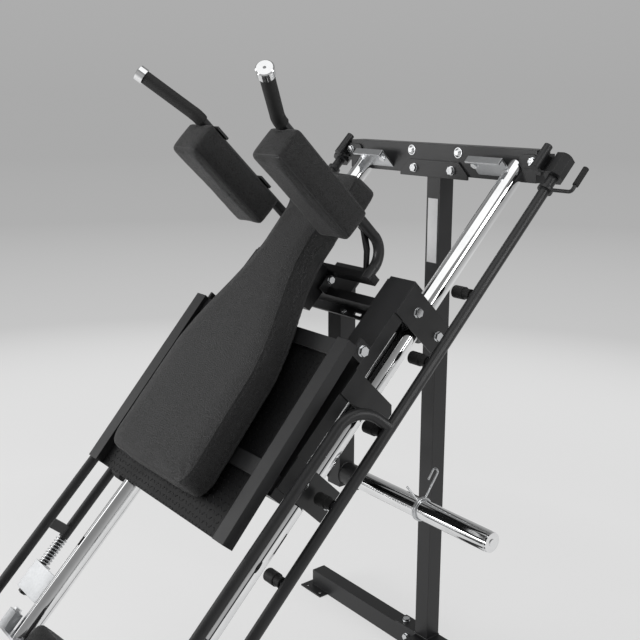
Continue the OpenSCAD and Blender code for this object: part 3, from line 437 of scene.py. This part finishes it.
def vinyl_material(look):
    m, t, p, xyz = start("cushion vinyl", {"Specular IOR Level": 0.45, "Sheen Weight": 0.12,
                                           "Sheen Roughness": 0.5})
    grain = use(t, "hide", {"Vector": xyz, "Scale": 1.0 / look.vinyl_grain})
    dust = use(t, "dust", {"Vector": xyz, "Amount": 0.06})
    # painted light: the grain's creases are painted darker as shade and its crowns lighter as a
    # highlight
    painted_crease_shade = [c * 0.2 for c in look.vinyl]
    painted_crown_highlight = [c * 1.4 for c in look.vinyl]
    base = blend_colour(t, span(t, grain["Shade"], 0.2, 1.3, smooth=False), painted_crease_shade, painted_crown_highlight)
    feed(t, p, {"Base Color": blend_colour(t, dust["Mask"], base, (0.1, 0.1, 0.1)),
                "Roughness": calc(t, "ADD", grain["Roughness"], 0.47, clamp=True)})
    bump(t, p, grain["Height"], 0.0012, 0.9)
    return m


def thread_material():
    m, t, p, xyz = start("seam thread", {"Roughness": 0.6, "Sheen Weight": 0.2})
    twist = noise(t, xyz, 1500.0, 2.0)
    feed(t, p, {"Base Color": blend_colour(t, twist, (0.012, 0.012, 0.013),
                                           (0.034, 0.034, 0.036))})
    bump(t, p, twist, 0.0003, 0.7)
    return m


def rubber_material(look):
    m, t, p, xyz = start("grip rubber", {"Specular IOR Level": 0.35})
    grit = noise(t, xyz, 1200.0, 3.0)
    edge = use(t, "edge", {"Vector": xyz, "Radius": 0.0022, "Wear and painted highlight": 0.5})
    dust = use(t, "dust", {"Vector": xyz, "Amount": 0.12})
    base = tone(t, look.rubber, span(t, grit, 0.3, 0.7, 0.85, 1.2))
    # edges painted lighter: partly rubbed rubber, partly a painted edge highlight
    base = blend_colour(t, edge["Mask"], base, (0.04, 0.04, 0.04))
    feed(t, p, {"Base Color": blend_colour(t, dust["Mask"], base, (0.1, 0.098, 0.095)),
                "Roughness": span(t, grit, 0.3, 0.7, 0.55, 0.68)})
    bump(t, p, grit, 0.0004, 0.6, edge["Normal"])
    return m


def roller_material():
    m, t, p, xyz = start("roller nylon", {"Specular IOR Level": 0.5})
    turned = node(t, "ShaderNodeTexWave", {"Vector": xyz, "Scale": 500.0, "Distortion": 0.4,
                                           "Detail": 1.0}, bands_direction="X")
    grit = noise(t, xyz, 90.0, 5.0)
    edge = use(t, "edge", {"Vector": xyz, "Radius": 0.0012, "Wear and painted highlight": 0.3})
    base = blend_colour(t, grit, (0.02, 0.02, 0.021), (0.045, 0.045, 0.047))
    # edges painted lighter: partly rubbed nylon, partly a painted edge highlight
    feed(t, p, {"Base Color": blend_colour(t, edge["Mask"], base, (0.09, 0.09, 0.09)),
                "Roughness": span(t, grit, 0.3, 0.7, 0.32, 0.48)})
    bump(t, p, turned.outputs["Fac"], 0.00008, 0.4, edge["Normal"])
    return m


def label_material(look):
    """Blank plate: brushed face, darker rim"""
    m, t, p, xyz = start("label plate", {"Specular IOR Level": 0.5})
    low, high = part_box("label_plate")
    mid = (low + high) / 2
    half = (high - low) / 2
    size = vector_calc(t, "ABSOLUTE", vector_calc(t, "SUBTRACT", xyz, tuple(mid)))
    part = node(t, "ShaderNodeSeparateXYZ", {0: size}).outputs
    rim = calc(t, "MAXIMUM", *(span(t, part[way], reach - 0.0012, reach - 0.0006)
                               for way, reach in (("X", half[0]), ("Z", half[2]))))
    brushed = use(t, "drawn", {"Vector": xyz, "Along": (0.0, 0.0, 1.0), "Scale": 900.0})
    base = tone(t, look.label, brushed["Shade"])
    feed(t, p, {"Base Color": blend_colour(t, rim, base, (0.25, 0.25, 0.26)),
                "Roughness": calc(t, "ADD", brushed["Roughness"], 0.34)})
    bump(t, p, brushed["Height"], 0.00002, 0.4)
    return m


def weld_material(look):
    m, t, p, xyz = start("painted weld", {"Specular IOR Level": 0.5})
    coat = use(t, "coat", {"Vector": xyz, "Scale": 700.0})
    feed(t, p, {"Base Color": tone(t, look.paint, coat["Shade"]),
                "Roughness": calc(t, "ADD", coat["Roughness"], look.paint_rough)})
    bump(t, p, coat["Height"], 0.0003, 0.5)
    return m


def cap_material():
    m, t, p, xyz = start("end cap plastic", {"Specular IOR Level": 0.45})
    grit = noise(t, xyz, 700.0, 3.0)
    edge = use(t, "edge", {"Vector": xyz, "Radius": 0.0015, "Wear and painted highlight": 0.4})
    base = blend_colour(t, grit, (0.016, 0.016, 0.017), (0.03, 0.03, 0.031))
    # edges painted lighter: partly rubbed plastic, partly a painted edge highlight
    feed(t, p, {"Base Color": blend_colour(t, edge["Mask"], base, (0.06, 0.06, 0.06)),
                "Roughness": span(t, grit, 0.3, 0.7, 0.48, 0.6)})
    bump(t, p, grit, 0.0003, 0.5, edge["Normal"])
    return m


finishes = {}


def build_finishes(context):
    look, sizes = context.scene.machine_finish, context.scene.machine_sizes
    build_groups()
    finishes.update(
        paint=paint_material(look), tread=tread_material(look, sizes),
        rod=plated_material("chromed rod", look.chrome, 0.045, UPHILL),
        horn=plated_material("chromed horn", look.chrome, 0.05, SIDEWAYS),
        bolt=plated_material("plated bolt", (0.7, 0.71, 0.72), 0.16, SIDEWAYS, 400.0, 0.0006),
        spring=plated_material("plated spring", (0.55, 0.56, 0.57), 0.22, UPHILL),
        zinc=zinc_material(look), vinyl=vinyl_material(look), thread=thread_material(),
        rubber=rubber_material(look), roller=roller_material(), label=label_material(look),
        weld=weld_material(look), cap=cap_material())


def dress(obj, key):
    obj.data.materials.clear()
    obj.data.materials.append(finishes[key])


# ---------------------------------------------------------------- mesh helpers
def shading_modifier():
    """Joins a CAD mesh's doubled corners and shades it smooth up to SMOOTH_ANGLE"""
    g = bpy.data.node_groups.new("smooth by angle", "GeometryNodeTree")
    g.is_modifier = True
    g.interface.new_socket("Geometry", in_out="INPUT", socket_type="NodeSocketGeometry")
    g.interface.new_socket("Geometry", in_out="OUTPUT", socket_type="NodeSocketGeometry")
    i, o = g.nodes.new("NodeGroupInput"), g.nodes.new("NodeGroupOutput")
    plain = node(g, "GeometryNodeRemoveAttribute", {"Geometry": i.outputs[0],
                                                    "Name": "custom_normal"})
    joined = node(g, "GeometryNodeMergeByDistance", {"Geometry": plain.outputs[0],
                                                     "Distance": CAD_WELD})
    smooth = node(g, "GeometryNodeSetShadeSmooth", {"Geometry": joined.outputs[0]},
                  domain="FACE")
    angle = g.nodes.new("GeometryNodeInputMeshEdgeAngle").outputs["Unsigned Angle"]
    sharp = node(g, "FunctionNodeCompare", {0: angle, 1: SMOOTH_ANGLE}, data_type="FLOAT",
                 operation="GREATER_THAN").outputs["Result"]
    edges = node(g, "GeometryNodeSetShadeSmooth", {
        "Geometry": smooth.outputs[0], "Selection": sharp, "Shade Smooth": False}, domain="EDGE")
    g.links.new(edges.outputs[0], o.inputs[0])
    return g


def make_object(name, mesh):
    obj = bpy.data.objects.new(name, mesh)
    bpy.context.scene.collection.objects.link(obj)
    return obj


def shade(mesh, smooth=True):
    for f in mesh.polygons:
        f.use_smooth = smooth


def settled_mesh(obj):
    """The object's mesh with its modifiers in it"""
    bpy.context.view_layer.update()
    shown = obj.evaluated_get(bpy.context.evaluated_depsgraph_get())
    return bpy.data.meshes.new_from_object(shown)


def bake_modifiers(obj):
    mesh = settled_mesh(obj)
    obj.modifiers.clear()
    obj.data = mesh


def cushion_form(name, source, shrink, voxel, rounds):
    """A CAD cushion's mesh drawn in a little, meshed evenly and rounded"""
    mesh = NODES[source].data.copy()
    b = bmesh.new()
    b.from_mesh(mesh)
    bmesh.ops.remove_doubles(b, verts=b.verts, dist=CUSHION_WELD)
    bmesh.ops.recalc_face_normals(b, faces=b.faces)
    b.normal_update()
    for v in b.verts:
        v.co -= v.normal * shrink
    b.to_mesh(mesh)
    b.free()
    if "custom_normal" in mesh.attributes:
        mesh.attributes.remove(mesh.attributes["custom_normal"])
    obj = make_object(name, mesh)
    grid = obj.modifiers.new("even mesh", "REMESH")
    grid.mode = "VOXEL"
    grid.voxel_size = voxel
    soft = obj.modifiers.new("rounded", "SMOOTH")
    soft.factor = 0.5
    soft.iterations = rounds
    bake_modifiers(obj)
    return obj


def inflate(obj, axes, pressure, cap, held):
    """Blows the cover up against its own stretch, with the board at its back held"""
    mesh = obj.data
    inward = axes.inverted()
    board = obj.vertex_groups.new(name="board")
    for v in mesh.vertices:
        if (inward @ v.co).z < held:
            board.add([v.index], 1.0, "REPLACE")
    cloth = obj.modifiers.new("cover", "CLOTH")
    for key, value in COVER.items():
        setattr(cloth.settings, key, value)
    cloth.settings.uniform_pressure_force = pressure
    cloth.settings.effector_weights.gravity = 0
    cloth.collision_settings.use_collision = False
    cloth.point_cache.frame_start = 1
    cloth.point_cache.frame_end = COVER_FRAMES
    for f in range(1, COVER_FRAMES + 1):
        bpy.context.scene.frame_set(f)
    swollen = settled_mesh(obj)
    obj.modifiers.clear()
    obj.vertex_groups.clear()
    bpy.context.scene.frame_set(1)
    for v, after in zip(mesh.vertices, swollen.vertices):
        move = after.co - v.co
        if move.length > cap:
            move = move.normalized() * cap
        v.co = v.co + move
    mesh.update()
    bpy.data.meshes.remove(swollen)


def finish_cushion(obj):
    """Settles the cover's last unevenness and splits its faces once"""
    soft = obj.modifiers.new("settled", "SMOOTH")
    soft.factor = 0.4
    soft.iterations = 1
    fine = obj.modifiers.new("fine", "SUBSURF")
    fine.levels = 1
    fine.render_levels = 1
    bake_modifiers(obj)
    shade(obj.data)


def tube_mesh(name, path, radius, sides=8, closed=False, wobble=0.0, seed=1):
    """A round tube along a path, with an uneven radius where it is a weld"""
    rng = random.Random(seed)
    b = bmesh.new()
    rings = []
    count = len(path)
    last = None
    for k, p in enumerate(path):
        ahead = path[(k + 1) % count] if closed or k < count - 1 else p
        behind = path[(k - 1) % count] if closed or k > 0 else p
        d = (ahead - behind).normalized()
        if last is None:
            side = d.cross(Vector((0.31, 0.53, 0.79))).normalized()
        else:
            side = (last - d * last.dot(d)).normalized()
        last = side
        up = d.cross(side)
        r = radius * (1 + wobble * (rng.random() - 0.5))
        rings.append([b.verts.new(p + (side * math.cos(a) + up * math.sin(a)) * r)
                      for a in (2 * math.pi * j / sides for j in range(sides))])
    for k in range(count if closed else count - 1):
        one, two = rings[k], rings[(k + 1) % count]
        shift = 0
        if closed and k == count - 1:
            shift = min(range(sides), key=lambda s: (one[0].co - two[s].co).length)
        for j in range(sides):
            b.faces.new((one[j], one[(j + 1) % sides], two[(j + 1 + shift) % sides],
                         two[(j + shift) % sides]))
    if not closed:
        b.faces.new(rings[0][::-1])
        b.faces.new(rings[-1])
    bmesh.ops.recalc_face_normals(b, faces=b.faces)
    mesh = bpy.data.meshes.new(name)
    b.to_mesh(mesh)
    b.free()
    shade(mesh)
    return mesh


def join_meshes(name, meshes):
    b = bmesh.new()
    for mesh in meshes:
        b.from_mesh(mesh)
        bpy.data.meshes.remove(mesh)
    out = bpy.data.meshes.new(name)
    b.to_mesh(out)
    b.free()
    shade(out)
    return out


def resample(corners, step):
    """A closed loop of points with more between them, so that none lie far apart"""
    dense = []
    for k, p in enumerate(corners):
        q = corners[(k + 1) % len(corners)]
        parts = max(1, int((q - p).length / step))
        dense += [p.lerp(q, j / parts) for j in range(parts)]
    return dense


def rounded_loop(half_x, half_y, radius, z, step=LOOP_STEP):
    """Points round a rectangle with round corners, in the cushion's own axes"""
    x, y = half_x - radius, half_y - radius
    points = []
    for cx, cy, first in ((x, y, 0), (-x, y, 90), (-x, -y, 180), (x, -y, 270)):
        for k in range(ARC_STEPS + 1):
            a = math.radians(first + 90 * k / ARC_STEPS)
            points.append(Vector((cx + radius * math.cos(a), cy + radius * math.sin(a), z)))
    return resample(points, step)


def seam_on(obj, axes, loop, radius, name, press=0.35):
    """Edging that follows the cushion's surface along a loop, half sunk into it"""
    tree = BVHTree.FromObject(obj, bpy.context.evaluated_depsgraph_get())
    path = []
    for p in loop:
        spot, normal, _, _ = tree.find_nearest(axes @ p)
        if spot is None:
            raise RuntimeError("no cushion under the seam " + name)
        path.append(spot - normal * radius * press)
    smooth = [(path[k - 1] + path[k] * 2 + path[(k + 1) % len(path)]) / 4
              for k in range(len(path))]
    return tube_mesh(name, smooth, radius, 6, closed=True)


def back_half(y):
    """Half width of the back pad at a distance from its lower end, as in the CAD"""
    low = min(1, y / 0.300)
    mid = min(1, max(0, (y - 0.300) / 0.310))
    head = min(1, max(0, (y - 0.735) / 0.040))
    return (0.183 - 0.005 * low - 0.090 * (mid - 0.0557 * math.sin(2 * math.pi * mid))
            + 0.031 * (0.5 - 0.5 * math.cos(math.pi * head)))


def corner_cut(depth, share):
    """How far a round corner draws the edge in, at a share of its length from its end"""
    return depth * (1 - math.sqrt(max(0, 1 - (1 - share) ** 2)))


def back_edge(y):
    """Half width of the back pad with its round corners"""
    foot, foot_cut = 0.050, 0.040
    head, head_cut, head_half = 0.814, 0.026, 0.119
    if y < foot:
        return back_half(y) - corner_cut(foot_cut, y / foot)
    if y > head:
        return head_half - corner_cut(head_cut, 1 - (y - head) / head_cut)
    return back_half(y)


def upholster(context, name, source, axes, thick, body, shrink, rounds, cap, loops, fill):
    """One cushion: form, swelling, finish, its place in the model and its seams"""
    sizes = context.scene.machine_sizes
    pad = cushion_form(name, source, shrink, sizes.voxel, rounds)
    inflate(pad, axes, sizes.pressure, cap, thick * BOARD_SHARE)
    finish_cushion(pad)
    dress(pad, "vinyl")
    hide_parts(source)
    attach(pad, body)
    seams = [seam_on(pad, axes, loop, sizes.seam, "%s_seam_%d" % (name, k))
             for k, loop in enumerate(loops)]
    edging = make_object(name + "_seams", join_meshes(name + "_seams", seams))
    dress(edging, "thread")
    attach(edging, body)
    return pad


# ---------------------------------------------------------------- operators
class MACHINE_OT_finishes(bpy.types.Operator):
    """Make the finishes and put them on the steel, rubber and plastic pieces"""
    bl_idname = "machine.finishes"
    bl_label = "Finishes"

    def execute(self, context):
        build_finishes(context)
        smooth = shading_modifier()
        for names, key in ((PAINTED, "paint"), (GALVANISED, "zinc"), (BOLTED, "bolt"),
                           (RUBBERY, "rubber"), (TREADED, "tread"), (ROLLERS, "roller"),
                           (["label_plate"], "label"), (["rod_left", "rod_right"], "rod"),
                           (["horn_left", "horn_right", "grip_caps"], "horn"),
                           (["bar_spring_left", "bar_spring_right"], "spring"),
                           (["seat_pad", "back_pad", "shoulder_left", "shoulder_right",
                             "rest_pad"], "vinyl")):
            for n in names:
                dress(NODES[n], key)
                NODES[n].modifiers.new("smooth by angle", "NODES").node_group = smooth
        left = [n for n, o in NODES.items() if not o.modifiers]
        if left:
            raise RuntimeError("no finish on " + ", ".join(left))
        return {"FINISHED"}


class MACHINE_OT_back_pad(bpy.types.Operator):
    """Build the back pad: wide below, drawn in towards the head"""
    bl_idname = "machine.back_pad"
    bl_label = "Back pad"

    def execute(self, context):
        out, low = 0.004, 0.010
        stops = [0.02 + 0.8 * k / 64 for k in range(65)]
        loop = [Vector((back_half(y) + out, y, low)) for y in stops]
        loop += [Vector((0.09 - 0.18 * k / 14, BACK_LENGTH + out, low)) for k in range(15)]
        loop += [Vector((-back_half(y) - out, y, low)) for y in reversed(stops)]
        loop += [Vector((-0.13 + 0.26 * k / 20, -out, low)) for k in range(21)]
        pad = upholster(context, "back_cushion", "back_pad", BACK, BACK_THICK, "pads",
                        shrink=0.001, rounds=1, cap=0.0025, loops=[loop], fill=0.85)
        self.add_rim(pad)
        return {"FINISHED"}

    def add_rim(self, pad):
        """A roll of vinyl along the edge of the top face, almost wholly sunk into it"""
        inset, drop, radius, sunk = 0.006, 0.003, 0.0032, 0.62
        rows = [0.002, 0.006, 0.012, 0.020, 0.030, 0.040]
        rows += [0.05 + 0.76 * k / 60 for k in range(61)]
        rows += [0.818, 0.824, 0.830, 0.835]
        side = [Vector((back_edge(y) - inset, y, BACK_THICK - drop)) for y in rows]
        rim = resample(side + [Vector((-p.x, p.y, p.z)) for p in reversed(side)], LOOP_STEP)
        edge = make_object("back_rim", seam_on(pad, BACK, rim, radius, "back_rim", sunk))
        dress(edge, "vinyl")
        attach(edge, "pads")


class MACHINE_OT_shoulder_pads(bpy.types.Operator):
    """Build the two shoulder pads with a seam round each face"""
    bl_idname = "machine.shoulder_pads"
    bl_label = "Shoulder pads"

    def execute(self, context):
        shrink, corner, seam_in = 0.001, 0.020, 0.007
        half_x, half_y = SHOULDER_WIDTH / 2, SHOULDER_LENGTH / 2
        upright = Matrix.Rotation(QUARTER, 4, "X")
        for side, name in ((-1, "left"), (1, "right")):
            centre = (side * (SHOULDER_IN + half_x), SHOULDER_U + SHOULDER_THICK,
                      SHOULDER_N + half_y)
            axes = RAIL @ Matrix.Translation(centre) @ upright
            loops = [rounded_loop(half_x - shrink, half_y - shrink, corner, z)
                     for z in (SHOULDER_THICK - seam_in, seam_in)]
            upholster(context, "shoulder_cushion_" + name, "shoulder_" + name, axes,
                      SHOULDER_THICK, "pads", shrink=shrink, rounds=1, cap=0.002,
                      loops=loops, fill=0.95)
        return {"FINISHED"}


class MACHINE_OT_seat(bpy.types.Operator):
    """Build the seat and backrest cushions of the leg press"""
    bl_idname = "machine.seat"
    bl_label = "Seat and backrest"

    def execute(self, context):
        soft = {"shrink": 0.002, "rounds": 4, "cap": 0.006, "fill": 0.85}
        seat = SEAT @ Matrix.Translation((0, -SEAT_LENGTH / 2, -SEAT_THICK))
        loops = [rounded_loop(0.156, SEAT_LENGTH / 2, 0.026, z) for z in (0.086, 0.010)]
        upholster(context, "seat_cushion", "seat_pad", seat, SEAT_THICK, "frame", loops=loops,
                  **soft)
        facing = Matrix.Rotation(-QUARTER, 4, "X")
        rest = REST @ Matrix.Translation((0, -0.0196, 0.354)) @ facing
        upholster(context, "backrest_cushion", "rest_pad", rest, REST_THICK, "backrest",
                  loops=[rounded_loop(0.150, 0.320, 0.044, 0.008)], **soft)
        return {"FINISHED"}


class MACHINE_OT_springs(bpy.types.Operator):
    """Wind the cushioning springs at the safety bars' lower ends"""
    bl_idname = "machine.springs"
    bl_label = "Springs"

    def execute(self, context):
        sizes = context.scene.machine_sizes
        wire, turns = sizes.spring_wire, sizes.spring_turns
        low, high, bar_x, bar_radius = 0.1664, 0.2466, 0.396, 0.009
        closed, per_turn = 0.75, 24
        rise = wire + 0.0007
        radius = bar_radius + wire
        total = turns + 2 * closed
        free = high - low - wire - 2 * rise
        for side, name in ((-1, "left"), (1, "right")):
            path = []
            for k in range(int(total * per_turn) + 1):
                t = k / per_turn
                if t < closed:
                    y = low + wire / 2 + t * rise / closed
                elif t > turns + closed:
                    y = high - wire / 2 - (total - t) * rise / closed
                else:
                    y = low + wire / 2 + rise + (t - closed) * free / turns
                a = 2 * math.pi * t
                path.append(RAIL @ Vector((side * (bar_x + radius * math.cos(a)), y,
                                           radius * math.sin(a))))
            mesh = tube_mesh("spring_coil_" + name, path, wire / 2 - 0.0001, 12)
            coil = make_object("spring_coil_" + name, mesh)
            dress(coil, "spring")
            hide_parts("bar_spring_" + name)
            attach(coil, "frame")
        return {"FINISHED"}


def circle(axes, radius, count=36):
    return [axes @ Vector((radius * math.cos(2 * math.pi * k / count),
                           radius * math.sin(2 * math.pi * k / count), 0)) for k in range(count)]


def square(axes, half):
    corners = [Vector((half * x, half * y, 0)) for x, y in ((1, 1), (-1, 1), (-1, -1), (1, -1))]
    return [axes @ p for p in resample(corners, BEAD_STEP)]


class MACHINE_OT_welds(bpy.types.Operator):
    """Lay weld beads where posts, tubes and sleeves meet"""
    bl_idname = "machine.welds"
    bl_label = "Weld beads"

    def execute(self, context):
        bead = context.scene.machine_sizes.bead
        at = Matrix.Translation
        sideways = Matrix.Rotation(QUARTER, 4, "Y")
        post_half, sleeve_x, sleeve_radius = 0.0255, 0.0255, 0.0305
        beads = {
            "frame": [square(at((0, y, FLOOR_TUBE_TOP)), post_half)
                      for y in (0, -1.089, -1.330)],
            "carriage": [circle(at((s * sleeve_x, HORNS_Y, HORNS_Z)) @ sideways, sleeve_radius)
                         for s in (-1, 1)],
        }
        for body, loops in beads.items():
            meshes = [tube_mesh("bead", loop, bead, 7, True, BEAD_WOBBLE, seed=k + 3)
                      for k, loop in enumerate(loops)]
            piece = make_object("weld_beads_" + body, join_meshes("weld_beads_" + body, meshes))
            dress(piece, "weld")
            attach(piece, body)
        return {"FINISHED"}


def domed_cap(size_y, size_z, depth, axes, name):
    """A plastic tube insert with a low domed face and a lip"""
    b = bmesh.new()
    rings = []
    for out, inset in ((0.0, 0.0), (depth * 0.45, 0.0), (depth * 0.8, 0.0015), (depth, 0.005)):
        loop = rounded_loop(size_y / 2 - inset, size_z / 2 - inset, 0.005, out, 0.02)
        rings.append([b.verts.new(axes @ p) for p in loop])
    # the smaller rings may have fewer points, so the others are cut to that number
    count = min(len(r) for r in rings)
    rings = [r[:count] for r in rings]
    for one, two in zip(rings, rings[1:]):
        for k in range(count):
            b.faces.new((one[k], one[(k + 1) % count], two[(k + 1) % count], two[k]))
    b.faces.new(rings[0][::-1])
    b.faces.new(rings[-1])
    loose = [v for v in b.verts if not v.link_faces]
    bmesh.ops.delete(b, geom=loose, context="VERTS")
    bmesh.ops.recalc_face_normals(b, faces=b.faces)
    mesh = bpy.data.meshes.new(name)
    b.to_mesh(mesh)
    b.free()
    return mesh


class MACHINE_OT_end_caps(bpy.types.Operator):
    """Close the floor tubes' ends with plastic inserts"""
    bl_idname = "machine.end_caps"
    bl_label = "End caps"

    def execute(self, context):
        height, size_y, size_z, depth = 0.030, 0.058, 0.048, 0.004
        meshes = []
        for x, y in ((0.537, 0.0), (0.330, -1.840)):
            for s in (-1, 1):
                outward = Matrix.Rotation(s * QUARTER, 4, "Y")
                axes = Matrix.Translation((s * x, y, height)) @ outward
                meshes.append(domed_cap(size_y, size_z, depth, axes, "cap"))
        piece = make_object("floor_tube_caps", join_meshes("floor_tube_caps", meshes))
        shade(piece.data, smooth=False)
        dress(piece, "cap")
        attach(piece, "frame")
        return {"FINISHED"}


def place_camera(scene, s):
    cam = bpy.data.cameras.new("photo camera")
    cam.lens, cam.sensor_width = s.lens, 36.0
    cam.clip_end = 500
    view = make_object("photo camera", cam)
    view.location = s.camera_at
    view.rotation_euler = (math.pi / 2 - s.pitch, 0, s.turn)
    scene.camera = view


def seen_rays(tree):
    """1 for the camera's rays and for mirrored ones, 0 for the light on rough faces"""
    rays = tree.nodes.new("ShaderNodeLightPath").outputs
    return calc(tree, "MAXIMUM", rays["Is Camera Ray"], rays["Is Glossy Ray"])


def colour_ramp(tree, value, levels):
    """Grey levels along a value, each as (place, level), in order"""
    ramp = node(tree, "ShaderNodeValToRGB", {0: value})
    stops = ramp.color_ramp.elements
    for stop, (place, level) in zip(stops, (levels[0], levels[-1])):
        stop.position, stop.color = place, (level, level, level, 1)
    for place, level in levels[1:-1]:
        stops.new(place).color = (level, level, level, 1)
    return ramp.outputs[0]


def lay_floor():
    """A wide floor that the camera and the chrome see as a glowing backdrop, more so far out"""
    middle, drop, fade = -0.9, 0.0002, 24.0
    b = bmesh.new()
    bmesh.ops.create_circle(b, cap_ends=True, cap_tris=True, radius=120, segments=96)
    mesh = bpy.data.meshes.new("studio_floor")
    b.to_mesh(mesh)
    b.free()
    floor = make_object("studio_floor", mesh)
    floor.location = (0, middle, -drop)
    m, t, p, _ = start("studio floor", {"Base Color": (0.74, 0.74, 0.74, 1),
                                        "Roughness": 0.6, "Specular IOR Level": 0.2})
    here = t.nodes.new("ShaderNodeNewGeometry").outputs["Position"]
    near = vector_calc(t, "DISTANCE", here, (0, middle, 0))
    # painted light: near the middle the floor is more than half white glow, which lightens the
    # machine's shadow on it, and farther out the glow darkens to grey as a painted pool of light
    backdrop = colour_ramp(t, calc(t, "DIVIDE", near, fade),
                           [(0.09, 1.0), (0.21, 0.56), (0.45, 0.43), (1.0, 0.40)])
    glow = node(t, "ShaderNodeEmission", {"Color": backdrop, "Strength": 1.0})
    far = calc(t, "MULTIPLY", span(t, near, 1.7, 4.6, 0.55, 1.0), seen_rays(t))
    mix = node(t, "ShaderNodeMixShader", {0: far, 1: p.outputs[0], 2: glow.outputs[0]})
    t.links.new(mix.outputs[0], t.nodes["Material Output"].inputs[0])
    floor.data.materials.append(m)


def light_room(scene, s):
    """Grey room that the camera and the chrome see, with an even light of its own"""
    world = bpy.data.worlds.new("studio")
    scene.world = world
    world.use_nodes = True
    w = world.node_tree
    way = w.nodes.new("ShaderNodeTexCoord").outputs["Generated"]
    height = node(w, "ShaderNodeSeparateXYZ", {0: way}).outputs["Z"]
    sky = colour_ramp(w, height, [(0.0, 0.40), (0.2, 0.44), (0.5, 0.3), (1.0, 0.16)])
    shown = node(w, "ShaderNodeBackground", {"Color": sky, "Strength": 1.0})
    light = node(w, "ShaderNodeBackground", {"Color": (1, 1, 1, 1), "Strength": s.fill})
    both = node(w, "ShaderNodeMixShader", {0: seen_rays(w), 1: light.outputs[0],
                                           2: shown.outputs[0]})
    w.links.new(both.outputs[0], w.nodes["World Output"].inputs[0])


def hang_lamps(s):
    """Softboxes: name, place, the point aimed at, size and power"""
    for name, place, aim, size, power in (
            ("top softbox", (0.3, -1.0, 3.6), (0, -0.8, 0.6), (2.6, 2.6), s.top_lamp),
            ("left softbox", (-2.6, -2.6, 2.2), (0, -0.8, 0.9), (1.6, 2.2), s.side_lamp * 0.5),
            ("right softbox", (3.2, 0.4, 2.3), (0, -0.6, 0.9), (0.9, 2.4), s.side_lamp),
            ("front softbox", (-2.0, -5.5, 1.5), (0, -0.6, 1.0), (3.0, 1.6), s.front_lamp)):
        lamp = bpy.data.lights.new(name, "AREA")
        lamp.shape, lamp.size, lamp.size_y, lamp.energy = "RECTANGLE", *size, power
        obj = make_object(name, lamp)
        obj.location = place
        obj.rotation_euler = (Vector(aim) - Vector(place)).to_track_quat("-Z", "Y").to_euler()


class MACHINE_OT_stage(bpy.types.Operator):
    """Set the floor, backdrop, lamps and camera"""
    bl_idname = "machine.stage"
    bl_label = "Studio"

    def execute(self, context):
        scene, s = context.scene, context.scene.machine_stage
        place_camera(scene, s)
        lay_floor()
        light_room(scene, s)
        hang_lamps(s)
        scene.view_settings.view_transform = "Standard"
        return {"FINISHED"}


class MACHINE_PT_panel(bpy.types.Panel):
    """Lists the machine's pieces and settings"""
    bl_idname = "MACHINE_PT_panel"
    bl_label = "Leg press machine"
    bl_space_type = "VIEW_3D"
    bl_region_type = "UI"
    bl_category = "Machine"

    def draw(self, context):
        for step in STEPS:
            self.layout.operator(step.bl_idname)
        for group in (context.scene.machine_finish, context.scene.machine_sizes,
                      context.scene.machine_stage):
            box = self.layout.box()
            for name in group.__annotations__:
                box.prop(group, name)


STEPS = (MACHINE_OT_stage, MACHINE_OT_finishes, MACHINE_OT_back_pad, MACHINE_OT_shoulder_pads,
         MACHINE_OT_seat, MACHINE_OT_springs, MACHINE_OT_welds, MACHINE_OT_end_caps)
SETTINGS = (("machine_finish", MachineFinish), ("machine_sizes", MachineSizes),
            ("machine_stage", MachineStage))


def register():
    for name, kind in SETTINGS:
        bpy.utils.register_class(kind)
        setattr(bpy.types.Scene, name, PointerProperty(type=kind))
    for kind in (*STEPS, MACHINE_PT_panel):
        bpy.utils.register_class(kind)


def unregister():
    for kind in (MACHINE_PT_panel, *reversed(STEPS)):
        bpy.utils.unregister_class(kind)
    for name, kind in reversed(SETTINGS):
        delattr(bpy.types.Scene, name)
        bpy.utils.unregister_class(kind)


def main():
    register()
    bpy.ops.machine.stage()
    bpy.ops.machine.finishes()
    bpy.ops.machine.back_pad()
    bpy.ops.machine.shoulder_pads()
    bpy.ops.machine.seat()
    bpy.ops.machine.springs()
    bpy.ops.machine.welds()
    bpy.ops.machine.end_caps()


if __name__ == "__main__":
    main()
